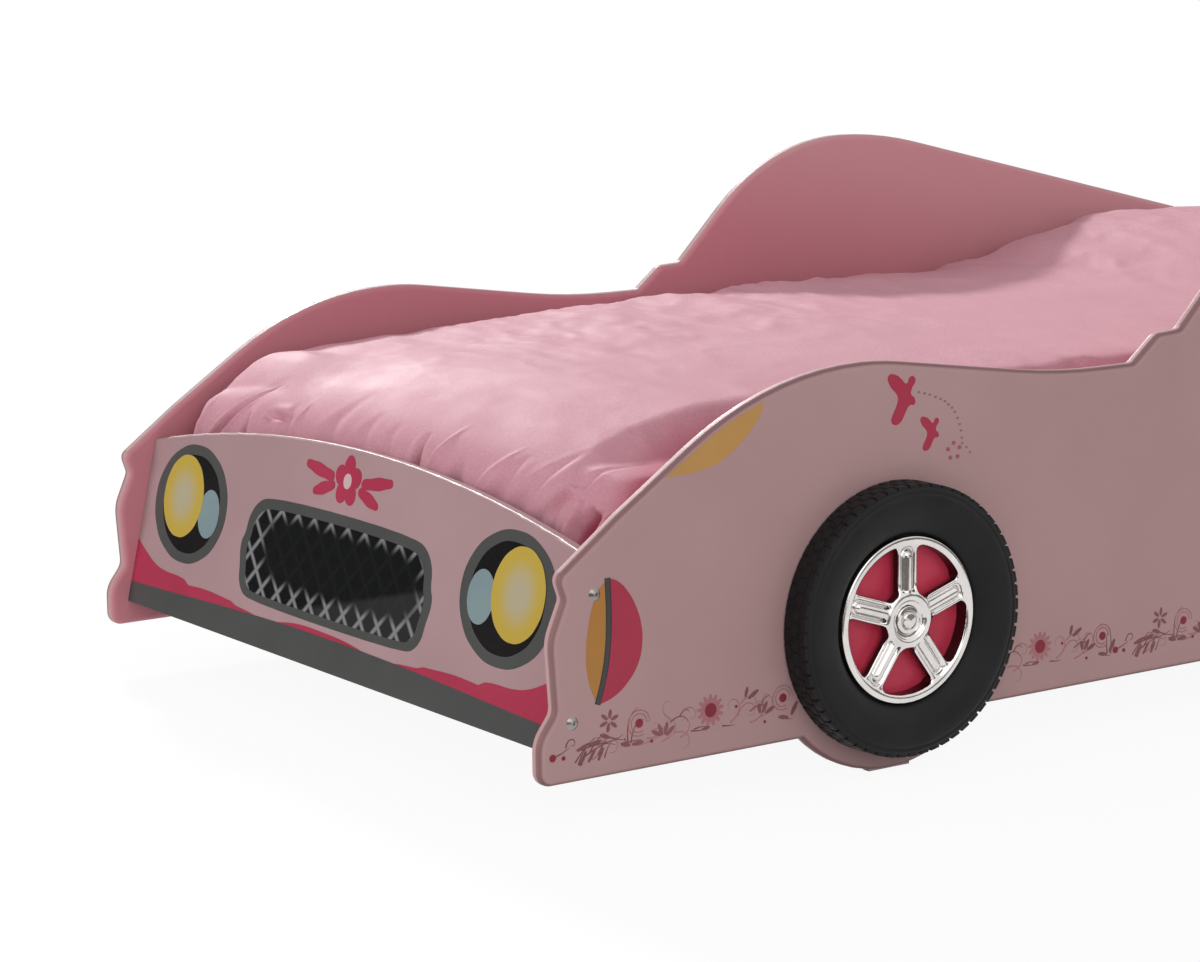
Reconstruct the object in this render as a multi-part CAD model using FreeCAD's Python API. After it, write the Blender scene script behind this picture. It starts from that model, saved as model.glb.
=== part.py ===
import FreeCAD, Part
import math
import os

# A child's bed in the shape of a small open car.
# X runs across the bed and +X is the car's own left. Y runs along it, with the
# nose at -Y and the head of the bed at +Y. Z is up from the floor. All in mm.
# "Station" is a distance behind the foremost point of the nose.

Vec = FreeCAD.Vector

# Mattress, and the room left round it
mattress_width = 900.0
mattress_length = 1900.0
mattress_height = 130.0
mattress_corner = 40.0
mattress_edge = 22.0
side_room = 20.0
head_room = 6.0
foot_run = 150.0
tail_run = 31.0

# Lacquered boards
side_thickness = 19.0
end_thickness = 18.0
board_edge = 7.0
end_edge = 3.0

# Outline of the side boards, heights above the floor
sill_height = 51.0
nose_height = 262.0
hood_height = 444.0
cowl_height = 409.0
mirror_height = 439.0
roof_height = 602.0
tail_height = 404.0

# Outline of the side boards, stations along the car
hood_top_station = 415.0
cowl_station = 803.0
roof_station = 1159.0
tail_overhang = 53.0

# Raked front board
front_sill = 80.0
front_crown = 326.0
front_station = 22.5
front_rake = 12.84
front_top_radius = 2416.0

# Upright head board
rear_sill = 80.0
rear_crown = 446.0
rear_top_radius = 1583.0

# Wheels
wheel_station = 453.0
wheel_height = 168.0
tyre_radius = 148.0
tyre_depth = 40.0
rim_radius = 91.0
rim_depth = 28.5
tread_lugs = 36
lug_gap = 5.0
spoke_count = 5
spoke_width = 26.0
hub_radius = 26.0
cap_radius = 15.0
wheel_clearance = 0.2

# Feet
foot_radius = 168.0
foot_flat = 56.0
glide_height = 3.0
glide_width = 10.0

# Bearers and slats
rail_width = 25.0
rail_height = 45.0
rail_clearance = 3.0
slat_count = 14
slat_width = 70.0
slat_thickness = 15.0
slat_top = 200.0
slat_clearance = 5.0
tape_width = 30.0
tape_thickness = 1.5
tape_offset = 300.0

# Fasteners
bolt_shank = 6.0
bolt_head = 14.0
bolt_head_height = 3.0
bolt_length = 66.0
nut_radius = 5.0
nut_length = 14.0
nut_inset = 36.0
bolt_low = 113.0
bolt_high = 241.0
dowel_radius = 4.0
dowel_length = 32.0
dowel_low = 152.0
dowel_high = 202.0
screw_radius = 2.0
screw_head = 4.2
rail_screw_length = 38.0
rail_screw_count = 5
slat_screw_length = 32.0
wheel_screw_count = 3
wheel_screw_circle = 60.0
hole_clearance = 0.2

# Bedding
soft_clearance = 0.4
pillow_room = 1.5
pillow_length = 520.0
pillow_width = 720.0
pillow_height = 84.0
pillow_seam = 34.0
pillow_from_head = 50.0
duvet_thickness = 47.0
duvet_crown = 27.0
duvet_over_pillow = 34.0
duvet_side_gap = 4.0
duvet_drop = 80.0
duvet_foot_dip = 18.0
duvet_foot_round = 230.0
duvet_foot_gap = 2.5
duvet_head_from_end = 250.0

# Sizes that follow from the ones above
bed_length = foot_run + mattress_length + head_room + end_thickness + tail_run
half_bay = mattress_width / 2 + side_room
outer_face = half_bay + side_thickness
rake = math.radians(front_rake)
rear_station = foot_run + mattress_length + head_room
mattress_base = slat_top + soft_clearance
mattress_top = mattress_base + mattress_height
rail_top = slat_top - slat_thickness
wheel_stations = {"front": wheel_station, "rear": bed_length - wheel_station}
sides = {"left": 1, "right": -1}


def along(station):
    """Y of a station behind the nose."""
    return station - bed_length / 2


def save(shape, node):
    """Write one node, and stop if its solid is broken."""
    if not shape.isValid() or shape.Volume <= 0:
        raise ValueError(node + " is not a sound solid")
    shape.exportStep(os.path.join("parts", node + ".step"))


def mirrored(shape, side):
    """A shape made for the left side, or its mirror image for the right."""
    if side > 0:
        return shape
    return shape.mirror(Vec(0, 0, 0), Vec(1, 0, 0))


def corner_trim(before, corner, after, radius):
    """How far the rounding of a corner reaches along its two sides."""
    one = (before - corner).normalize()
    two = (after - corner).normalize()
    half_angle = one.getAngle(two) / 2
    return radius / math.tan(half_angle)


def rounded_wire(corners, place):
    """Closed wire of lines, with an arc of its own radius at each corner.

    corners holds (a, b, radius) and place turns (a, b) into a point.
    """
    points = [place(a, b) for a, b, radius in corners]
    radii = [radius for a, b, radius in corners]
    count = len(points)
    trims = []
    for i in range(count):
        trim = 0.0
        if radii[i] > 0:
            trim = corner_trim(points[i - 1], points[i], points[(i + 1) % count], radii[i])
        trims.append(trim)
    shrink = [1.0] * count
    for i in range(count):
        j = (i + 1) % count
        side = points[i].distanceToPoint(points[j])
        wanted = trims[i] + trims[j]
        if wanted > side:
            shrink[i] = min(shrink[i], side / wanted)
            shrink[j] = min(shrink[j], side / wanted)
    edges = []
    starts = []
    ends = []
    arcs = []
    for i in range(count):
        corner = points[i]
        one = (points[i - 1] - corner).normalize()
        two = (points[(i + 1) % count] - corner).normalize()
        trim = trims[i] * shrink[i]
        start = corner + one * trim
        end = corner + two * trim
        arc = None
        if trim > 0:
            half_angle = one.getAngle(two) / 2
            radius = trim * math.tan(half_angle)
            inward = (one + two).normalize()
            middle = corner + inward * (radius / math.sin(half_angle) - radius)
            arc = Part.Arc(start, middle, end).toShape()
        starts.append(start)
        ends.append(end)
        arcs.append(arc)
    for i in range(count):
        if arcs[i]:
            edges.append(arcs[i])
        following = starts[(i + 1) % count]
        if ends[i].distanceToPoint(following) > 0.001:
            edges.append(Part.makeLine(ends[i], following))
    return Part.Wire(edges)


def turned(corners):
    """Solid turned about the X axis from a (depth, radius, rounding) outline."""
    wire = rounded_wire(corners, lambda depth, radius: Vec(depth, 0, radius))
    return Part.Face(wire).revolve(Vec(0, 0, 0), Vec(1, 0, 0), 360)


def rod(radius, length, start, direction):
    """Cylinder from a start point along a direction."""
    return Part.makeCylinder(radius, length, start, direction)


def block(low, high):
    """Box between two opposite corners."""
    return Part.makeBox(high[0] - low[0], high[1] - low[1], high[2] - low[2], Vec(*low))


# Side boards

def side_outline():
    """Corners of the car's silhouette as (station, height, rounding)."""
    tail = bed_length
    cowl_rise = mirror_height - cowl_height
    roof_rise = roof_height - mirror_height
    return [
        (0.0, sill_height, 15.0),
        (0.0, sill_height + 47.0, 36.0),
        (20.5, sill_height + 74.0, 18.0),
        (15.5, nose_height - 63.0, 50.0),
        (33.0, nose_height - 23.0, 10.0),
        (25.0, nose_height, 12.0),
        (100.0, nose_height + 55.0, 150.0),
        (hood_top_station - 124.0, hood_height, 405.0),
        (hood_top_station + 25.0, hood_height, 340.0),
        (cowl_station - 110.0, cowl_height - 0.5, 860.0),
        (cowl_station, cowl_height, 12.0),
        (cowl_station + 1.25 * cowl_rise, mirror_height, 16.0),
        (cowl_station + 1.25 * cowl_rise + 34.0, mirror_height + 2.0, 14.0),
        (roof_station - 287.0 + 0.99 * roof_rise, roof_height, 306.0),
        (roof_station + 68.0, roof_height, 570.0),
        (tail - tail_overhang, tail_height, 62.0),
        (tail - 33.0, nose_height - 23.0, 10.0),
        (tail - 15.5, nose_height - 63.0, 50.0),
        (tail - 20.5, sill_height + 74.0, 18.0),
        (tail, sill_height + 47.0, 36.0),
        (tail, sill_height, 15.0),
    ]


def foot_disc(station):
    """Round foot behind a wheel."""
    return rod(foot_radius, side_thickness, Vec(half_bay, along(station), wheel_height), Vec(1, 0, 0))


def wheel_screw_points(station):
    """Screw places behind a wheel, on a circle with one screw at the top."""
    points = []
    for i in range(wheel_screw_count):
        angle = math.radians(90 + 360 * i / wheel_screw_count)
        y = along(station) + wheel_screw_circle * math.cos(angle)
        z = wheel_height + wheel_screw_circle * math.sin(angle)
        points.append((y, z))
    return points


def front_middle(height):
    """Y of the front board's middle plane at a height."""
    setback = end_thickness / 2 / math.cos(rake)
    return along(front_station) + (height - front_sill) * math.tan(rake) + setback


def rear_middle(height):
    """Y of the head board's middle plane, which stands upright."""
    return along(rear_station) + end_thickness / 2


end_joints = [(front_middle, rake), (rear_middle, 0.0)]


def screw_sink(tip):
    """Countersink that opens towards -X at a point."""
    return Part.makeCone(screw_head, screw_radius, screw_head - screw_radius, tip, Vec(1, 0, 0))


def rail_screw_stations():
    """Stations of the screws that hold a bearer to its side board."""
    first = rail_start() + 60.0
    last = rail_end() - 60.0
    step = (last - first) / (rail_screw_count - 1)
    return [first + step * i for i in range(rail_screw_count)]


def side_panel():
    """Left side board with its feet and all its holes."""
    wire = rounded_wire(side_outline(), lambda s, z: Vec(half_bay, along(s), z))
    board = Part.Face(wire).extrude(Vec(side_thickness, 0, 0))
    for station in wheel_stations.values():
        board = board.fuse(foot_disc(station))
    board = board.removeSplitter()
    rims = []
    for edge in board.Edges:
        box = edge.BoundBox
        if box.XLength < 0.01:
            rims.append(edge)
    board = board.makeFillet(board_edge, rims)
    through = side_thickness + 2
    under_feet = block(
        (half_bay - 1, along(0) - 1, wheel_height - foot_radius - 1),
        (outer_face + 1, along(bed_length) + 1, glide_height),
    )
    board = board.cut(under_feet)
    for middle, lean in end_joints:
        for height in (bolt_low, bolt_high):
            start = Vec(half_bay - 1, middle(height), height)
            board = board.cut(rod(bolt_shank / 2 + hole_clearance, through, start, Vec(1, 0, 0)))
        for height in (dowel_low, dowel_high):
            start = Vec(half_bay - 1, middle(height), height)
            depth = 1 + dowel_depth()
            board = board.cut(rod(dowel_radius + hole_clearance, depth, start, Vec(1, 0, 0)))
    for station in rail_screw_stations():
        start = Vec(half_bay - 1, along(station), rail_top - rail_height / 2)
        depth = 1 + rail_screw_length - rail_width + hole_clearance
        board = board.cut(rod(screw_radius, depth, start, Vec(1, 0, 0)))
    for station in wheel_stations.values():
        for y, z in wheel_screw_points(station):
            start = Vec(half_bay, y, z)
            board = board.cut(rod(screw_radius + hole_clearance, through, start, Vec(1, 0, 0)))
            board = board.cut(screw_sink(start))
    return board


# End boards

def dowel_depth():
    """How deep a dowel goes into a side board, the rest being in the end board."""
    return side_thickness - 7.0


def end_board(sill, crown, top_radius, lean):
    """Board between the sides with a long arc along its top, before it is leant back."""
    stretch = 1 / math.cos(lean)
    edge_drop = top_radius - math.sqrt(top_radius ** 2 - half_bay ** 2)
    edge = (crown - sill - edge_drop) * stretch
    middle = (crown - sill) * stretch
    lower_left = Vec(-half_bay, 0, 0)
    lower_right = Vec(half_bay, 0, 0)
    upper_right = Vec(half_bay, 0, edge)
    upper_left = Vec(-half_bay, 0, edge)
    wire = Part.Wire([
        Part.makeLine(lower_left, lower_right),
        Part.makeLine(lower_right, upper_right),
        Part.Arc(upper_right, Vec(0, 0, middle), upper_left).toShape(),
        Part.makeLine(upper_left, lower_left),
    ])
    board = Part.Face(wire).extrude(Vec(0, end_thickness, 0))
    long_edges = []
    for e in board.Edges:
        box = e.BoundBox
        if box.XLength > half_bay and box.YLength < 0.01:
            long_edges.append(e)
    return board.makeFillet(end_edge, long_edges)


def drilled(board, middle, lean):
    """An end board with its bolt, nut and dowel holes, alike at both ends."""
    inward = Vec(0, math.cos(lean), -math.sin(lean))
    to_inside = 1 if middle is front_middle else -1
    for side in sides.values():
        for height in (bolt_low, bolt_high):
            start = Vec(side * (half_bay + 1), middle(height), height)
            length = bolt_length - side_thickness + 3
            board = board.cut(rod(bolt_shank / 2 + hole_clearance, length, start, Vec(-side, 0, 0)))
            nut = Vec(side * (half_bay - nut_inset), middle(height), height)
            base = nut - inward * (to_inside * nut_length / 2)
            reach = nut_length / 2 + end_thickness
            board = board.cut(rod(nut_radius + hole_clearance, reach, base, inward * to_inside))
        for height in (dowel_low, dowel_high):
            start = Vec(side * (half_bay + 1), middle(height), height)
            length = dowel_length - dowel_depth() + 1 + hole_clearance
            board = board.cut(rod(dowel_radius + hole_clearance, length, start, Vec(-side, 0, 0)))
    return board


def front_panel():
    """Raked foot board, the car's face."""
    board = end_board(front_sill, front_crown, front_top_radius, rake)
    board.rotate(Vec(0, 0, 0), Vec(1, 0, 0), -front_rake)
    board.translate(Vec(0, along(front_station), front_sill))
    return drilled(board, front_middle, rake)


def rear_panel():
    """Upright head board."""
    board = end_board(rear_sill, rear_crown, rear_top_radius, 0.0)
    board.translate(Vec(0, along(rear_station), rear_sill))
    return drilled(board, rear_middle, 0.0)


# Corner fasteners

def domed_head(radius, height):
    """Low domed screw head that stands on the plane X = 0."""
    ball = (radius ** 2 + height ** 2) / (2 * height)
    dome = Part.makeSphere(ball, Vec(height - ball, 0, 0))
    keep = rod(radius, height, Vec(0, 0, 0), Vec(1, 0, 0))
    return dome.common(keep)


def connector_bolt():
    """Bolt with its head on the plane X = 0 and its shank towards -X."""
    shank = rod(bolt_shank / 2, bolt_length, Vec(-bolt_length, 0, 0), Vec(1, 0, 0))
    socket = hex_socket(bolt_shank / 3.2, bolt_head_height)
    return domed_head(bolt_head / 2, bolt_head_height).fuse(shank).cut(socket)


def hex_socket(radius, top):
    """Six-sided key hole in a bolt head."""
    points = []
    for i in range(7):
        angle = math.radians(60 * i)
        points.append(Vec(top * 0.3, radius * math.cos(angle), radius * math.sin(angle)))
    return Part.Face(Part.makePolygon(points)).extrude(Vec(top, 0, 0))


def connector_bolts():
    """All eight corner bolts."""
    bolts = []
    for side in sides.values():
        for middle, lean in end_joints:
            for height in (bolt_low, bolt_high):
                bolt = connector_bolt()
                bolt.translate(Vec(outer_face, middle(height), height))
                bolts.append(mirrored(bolt, side))
    return Part.makeCompound(bolts)


def barrel_nuts():
    """Cross nuts in the end boards, each with its threaded hole."""
    nuts = []
    for side in sides.values():
        for middle, lean in end_joints:
            axis = Vec(0, math.cos(lean), -math.sin(lean))
            for height in (bolt_low, bolt_high):
                centre = Vec(side * (half_bay - nut_inset), middle(height), height)
                nut = rod(nut_radius, nut_length, centre - axis * (nut_length / 2), axis)
                hole = rod(bolt_shank / 2, 4 * nut_radius, centre - Vec(2 * nut_radius, 0, 0), Vec(1, 0, 0))
                nuts.append(nut.cut(hole))
    return Part.makeCompound(nuts)


def panel_dowels():
    """Beech dowels between the bolts, half in each board."""
    dowels = []
    for side in sides.values():
        for middle, lean in end_joints:
            for height in (dowel_low, dowel_high):
                start = Vec(half_bay + dowel_depth(), middle(height), height)
                dowel = rod(dowel_radius, dowel_length, start, Vec(-1, 0, 0))
                dowels.append(mirrored(dowel, side))
    return Part.makeCompound(dowels)


# Bearers, slats and their screws

def rail_start():
    """Station where the bearers begin, clear of the leaning front board."""
    inner = front_middle(rail_top) + end_thickness / 2 / math.cos(rake) + bed_length / 2
    return inner + rail_clearance


def rail_end():
    """Station where the bearers end, clear of the head board."""
    return rear_station - rail_clearance


def rail():
    """Left bearer with its screw holes."""
    low = (half_bay - rail_width, along(rail_start()), rail_top - rail_height)
    high = (half_bay, along(rail_end()), rail_top)
    bar = block(low, high)
    for station in rail_screw_stations():
        tip = Vec(half_bay - rail_width, along(station), rail_top - rail_height / 2)
        bar = bar.cut(rod(screw_radius, rail_width, tip, Vec(1, 0, 0)))
        bar = bar.cut(screw_sink(tip))
    for station in (slat_station(0), slat_station(slat_count - 1)):
        top = Vec(half_bay - rail_width / 2, along(station), rail_top)
        depth = slat_screw_length - slat_thickness + hole_clearance
        bar = bar.cut(rod(screw_radius, depth, top, Vec(0, 0, -1)))
    return bar


def countersunk_screw(length):
    """Wood screw with its flat head at the origin and its shank along +X."""
    head = Part.makeCone(screw_head, screw_radius, screw_head - screw_radius, Vec(0, 0, 0), Vec(1, 0, 0))
    shank = rod(screw_radius, length - screw_radius, Vec(0, 0, 0), Vec(1, 0, 0))
    tip = Part.makeCone(screw_radius, 0, screw_radius, Vec(length - screw_radius, 0, 0), Vec(1, 0, 0))
    return head.fuse(shank).fuse(tip)


def rail_screws():
    """Screws through the bearers into the side boards."""
    screws = []
    for side in sides.values():
        for station in rail_screw_stations():
            screw = countersunk_screw(rail_screw_length)
            screw.translate(Vec(half_bay - rail_width, along(station), rail_top - rail_height / 2))
            screws.append(mirrored(screw, side))
    return Part.makeCompound(screws)


def slat_station(index):
    """Station of a slat's middle, spread evenly under the mattress."""
    first = foot_run + slat_width / 2
    last = foot_run + mattress_length - slat_width / 2
    return first + (last - first) * index / (slat_count - 1)


def slat(index):
    """One slat, rounded at its long edges; the end ones are drilled for screws."""
    reach = half_bay - slat_clearance
    middle = along(slat_station(index))
    low = (-reach, middle - slat_width / 2, slat_top - slat_thickness)
    high = (reach, middle + slat_width / 2, slat_top)
    board = block(low, high)
    long_edges = [e for e in board.Edges if e.BoundBox.XLength > reach]
    board = board.makeFillet(slat_thickness / 5, long_edges)
    if index in (0, slat_count - 1):
        for side in sides.values():
            top = Vec(side * (half_bay - rail_width / 2), middle, slat_top)
            board = board.cut(rod(screw_radius, slat_thickness, top, Vec(0, 0, -1)))
            sink = Part.makeCone(screw_head, screw_radius, screw_head - screw_radius, top, Vec(0, 0, -1))
            board = board.cut(sink)
    return board


def slat_screws():
    """Screws through the first and last slats into the bearers."""
    screws = []
    for side in sides.values():
        for index in (0, slat_count - 1):
            screw = countersunk_screw(slat_screw_length)
            screw.rotate(Vec(0, 0, 0), Vec(0, 1, 0), 90)
            screw.translate(Vec(half_bay - rail_width / 2, along(slat_station(index)), slat_top))
            screws.append(mirrored(screw, side))
    return Part.makeCompound(screws)


def slat_tape():
    """Left webbing strip stapled under all the slats."""
    low = (tape_offset - tape_width / 2, along(slat_station(0) - slat_width / 2), rail_top - tape_thickness)
    high = (tape_offset + tape_width / 2, along(slat_station(slat_count - 1) + slat_width / 2), rail_top)
    return block(low, high)


# Wheels, made about the X axis with the board's outer face at X = 0

def flange_depth():
    """Thickness of the tyre's inner flange, which the backing clamps."""
    return 4.0


def backing_depth():
    """Thickness of the crimson backing plate."""
    return 6.0


def seat_radius():
    """Bore of the tyre, which takes the backing and the rim's barrel."""
    return rim_radius - 2.0


def tyre():
    """Moulded tyre ring with its bead, bulged side wall, tread groove and lugs."""
    bore = seat_radius() + wheel_clearance
    flange_bore = seat_radius() - 9.0
    shoulder = tyre_radius - 8.0
    seat_floor = rim_depth - 5.0
    ring = turned([
        (0.0, flange_bore, 0.0),
        (flange_depth(), flange_bore, 0.0),
        (flange_depth(), bore, 0.0),
        (seat_floor, bore, 0.0),
        (seat_floor, rim_radius + wheel_clearance, 0.0),
        (rim_depth + 1.5, rim_radius + wheel_clearance, 0.0),
        (rim_depth + 3.5, rim_radius + 6.0, 2.0),
        (rim_depth + 2.0, rim_radius + 10.0, 0.0),
        (tyre_depth - 1.0, rim_radius + 24.0, 12.0),
        (tyre_depth, shoulder - 4.0, 6.0),
        (tyre_depth - 5.0, shoulder, 0.0),
        (tyre_depth - 10.0, tyre_radius, 5.0),
        (tyre_depth * 0.6, tyre_radius, 0.0),
        (tyre_depth * 0.55, tyre_radius - 3.0, 0.0),
        (tyre_depth * 0.45, tyre_radius - 3.0, 0.0),
        (tyre_depth * 0.4, tyre_radius, 0.0),
        (0.0, tyre_radius, 0.0),
    ])
    gap = block(
        (tyre_depth * 0.68, -lug_gap / 2, shoulder + 1.0),
        (tyre_depth + 1, lug_gap / 2, tyre_radius + 2.0),
    )
    gaps = []
    for i in range(tread_lugs):
        turn = gap.copy()
        turn.rotate(Vec(0, 0, 0), Vec(1, 0, 0), 360.0 * i / tread_lugs)
        gaps.append(turn)
    return ring.cut(Part.makeCompound(gaps))


def backing():
    """Crimson plate behind the spokes, with a screw boss at each fixing."""
    floor = flange_depth()
    plate = rod(seat_radius(), backing_depth(), Vec(floor, 0, 0), Vec(1, 0, 0))
    spigot = rod(seat_radius() - 9.0 - wheel_clearance, floor, Vec(0, 0, 0), Vec(1, 0, 0))
    plate = plate.fuse(spigot)
    for i in range(wheel_screw_count):
        angle = math.radians(90 + 360 * i / wheel_screw_count)
        y = wheel_screw_circle * math.cos(angle)
        z = wheel_screw_circle * math.sin(angle)
        plate = plate.cut(rod(screw_radius, floor + backing_depth() - 1.0, Vec(0, y, z), Vec(1, 0, 0)))
    return plate


def window(index):
    """One opening between two spokes, as a prism with rounded corners."""
    half_pitch = math.pi / spoke_count
    apex = spoke_width / 2 / math.sin(half_pitch)
    outer = rim_radius - 10.0
    far = outer / math.cos(half_pitch)
    turn = 2 * half_pitch * (index + 0.5)
    tip = Vec(0, apex * math.sin(turn), apex * math.cos(turn))
    one = Vec(0, math.sin(turn - half_pitch), math.cos(turn - half_pitch)) * far
    two = Vec(0, math.sin(turn + half_pitch), math.cos(turn + half_pitch)) * far
    wedge = Part.Face(Part.makePolygon([tip, tip + one, tip + two, tip])).extrude(Vec(rim_depth, 0, 0))
    ring = rod(outer, rim_depth, Vec(0, 0, 0), Vec(1, 0, 0))
    ring = ring.cut(rod(hub_radius + 5.0, rim_depth, Vec(0, 0, 0), Vec(1, 0, 0)))
    prism = wedge.common(ring)
    upright = [e for e in prism.Edges if e.BoundBox.XLength > rim_depth / 2]
    return prism.makeFillet(6.0, upright)


def finger(index):
    """Raised rounded bar along one spoke."""
    radius = spoke_width * 0.25
    start = hub_radius + 2.0
    length = rim_radius - 22.0 - start
    centre = rim_depth - 6.0
    bar = rod(radius, length, Vec(centre, 0, start), Vec(0, 0, 1))
    bar = bar.fuse(Part.makeSphere(radius, Vec(centre, 0, start + length)))
    bar.rotate(Vec(0, 0, 0), Vec(1, 0, 0), -360.0 * index / spoke_count)
    return bar


def channel(index):
    """Sunk slot round the raised bar of one spoke."""
    half = spoke_width * 0.34
    low = (rim_depth - 6.0, -half, hub_radius + 4.0)
    high = (rim_depth + 3.0, half, rim_radius - 12.0)
    slot = block(low, high)
    corners = [e for e in slot.Edges if e.BoundBox.XLength > 5 and e.BoundBox.ZMax > hub_radius + 20]
    slot = slot.makeFillet(half * 0.8, corners)
    slot.rotate(Vec(0, 0, 0), Vec(1, 0, 0), -360.0 * index / spoke_count)
    return slot


def rim():
    """Chromed five-spoke face: dish, spokes with barred slots, hub ring and barrel."""
    back = flange_depth() + backing_depth()
    face = rim_depth - 2.5
    dish = turned([
        (back, 0.0, 0.0),
        (back, seat_radius() - 0.2, 0.0),
        (rim_depth - 5.0, seat_radius() - 0.2, 0.0),
        (rim_depth - 5.0, rim_radius, 0.0),
        (rim_depth, rim_radius - 0.5, 1.0),
        (rim_depth, rim_radius - 7.0, 2.0),
        (face, rim_radius - 12.0, 0.0),
        (face - 1.0, hub_radius + 12.0, 10.0),
        (rim_depth + 1.5, hub_radius + 2.0, 3.0),
        (rim_depth + 1.5, hub_radius - 4.0, 2.0),
        (face, cap_radius + 5.0, 1.0),
        (face, 0.0, 0.0),
    ])
    dish = dish.cut(rod(rim_radius - 12.0, rim_depth - 12.0 - back, Vec(back, 0, 0), Vec(1, 0, 0)))
    legs = rod(hub_radius, rim_depth - 12.0 - back, Vec(back, 0, 0), Vec(1, 0, 0))
    dish = dish.fuse(legs)
    for i in range(spoke_count):
        dish = dish.cut(window(i))
    for i in range(spoke_count):
        dish = dish.cut(channel(i)).fuse(finger(i))
    bore = rod(cap_radius + wheel_clearance, rim_depth, Vec(back + 4.0, 0, 0), Vec(1, 0, 0))
    return dish.cut(bore).removeSplitter()


def hub_cap():
    """Domed cap pressed into the hub, with a ring round its button."""
    floor = flange_depth() + backing_depth() + 4.0
    face = rim_depth
    return turned([
        (floor, 0.0, 0.0),
        (floor, cap_radius, 0.0),
        (face - 1.0, cap_radius, 1.0),
        (face - 0.5, cap_radius - 4.0, 0.0),
        (face - 2.5, cap_radius - 5.5, 0.0),
        (face + 1.5, cap_radius - 7.0, 2.0),
        (face + 3.0, 0.0, 0.0),
    ])


def wheel_screws():
    """Screws from inside the bed through the side boards into the backing plates."""
    length = side_thickness + flange_depth() + backing_depth() - 2.0
    screws = []
    for side in sides.values():
        for station in wheel_stations.values():
            for y, z in wheel_screw_points(station):
                screw = countersunk_screw(length)
                screw.translate(Vec(half_bay, y, z))
                screws.append(mirrored(screw, side))
    return Part.makeCompound(screws)


def floor_glides():
    """Felt pads under the flats of the four feet."""
    pads = []
    middle = half_bay + side_thickness / 2
    for station in wheel_stations.values():
        low = (middle - glide_width / 2, along(station) - foot_flat / 2, 0.0)
        high = (middle + glide_width / 2, along(station) + foot_flat / 2, glide_height)
        pads.append(block(low, high))
        pads.append(mirrored(block(low, high), -1))
    return Part.makeCompound(pads)


# Bedding

def mattress():
    """Mattress with rounded corners and softened edges."""
    low = (-mattress_width / 2, along(foot_run), mattress_base)
    high = (mattress_width / 2, along(foot_run + mattress_length), mattress_top)
    pad = block(low, high)
    pad = pad.makeFillet(mattress_corner, [e for e in pad.Edges if e.BoundBox.ZLength > mattress_height / 2])
    rims = [e for e in pad.Edges if e.BoundBox.ZLength < 0.01]
    return pad.makeFillet(mattress_edge, rims)


def lens(y, half_width, seam, under, over):
    """Closed section of a cushion: two bowed sides that meet at the seam."""
    left = Vec(-half_width, y, seam)
    right = Vec(half_width, y, seam)
    top = Part.Arc(left, Vec(0, y, seam + over), right).toShape()
    bottom = Part.Arc(right, Vec(0, y, seam - under), left).toShape()
    return Part.Wire([top, bottom])


pillow_start = foot_run + mattress_length - pillow_from_head - pillow_length
pillow_base = mattress_top + soft_clearance
pillow_shares = (0.0, 0.01, 0.04, 0.1, 0.18, 0.28, 0.4, 0.5, 0.6, 0.72, 0.82, 0.9, 0.96, 0.99, 1.0)


def pillow_fullness(share):
    """Height of the pillow along its length, from 0 at a seam to 1 in the middle."""
    return math.sqrt(max(0.0, 1 - (2 * share - 1) ** 4))


def pillow_half_width(share):
    """Half width, drawn in between the corners."""
    return pillow_width / 2 * (1 - 0.05 * math.sin(math.pi * share))


def pillow():
    """Pillow with a crown, drawn-in sides and a seam all round."""
    wires = []
    for share in pillow_shares:
        y = along(pillow_start + share * pillow_length)
        full = max(0.04, pillow_fullness(share))
        over = (pillow_height - pillow_seam) * full
        under = pillow_seam * full
        wires.append(lens(y, pillow_half_width(share), pillow_base + pillow_seam, under, over))
    return Part.makeLoft(wires, True, True)


def pillow_shadow(room):
    """The pillow's upper half grown by a clearance and carried down to the mattress."""
    wires = []
    low = mattress_base
    for share in pillow_shares:
        grown = (share - 0.5) * 2 * room
        y = along(pillow_start + share * pillow_length + grown)
        half = pillow_half_width(share) + room
        shoulder = pillow_base + pillow_seam + room
        crest = shoulder + (pillow_height - pillow_seam) * max(0.04, pillow_fullness(share))
        wires.append(Part.Wire([
            Part.makeLine(Vec(-half, y, shoulder), Vec(-half, y, low)),
            Part.makeLine(Vec(-half, y, low), Vec(half, y, low)),
            Part.makeLine(Vec(half, y, low), Vec(half, y, shoulder)),
            Part.Arc(Vec(half, y, shoulder), Vec(0, y, crest), Vec(-half, y, shoulder)).toShape(),
        ]))
    return Part.makeLoft(wires, True, True)


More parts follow.
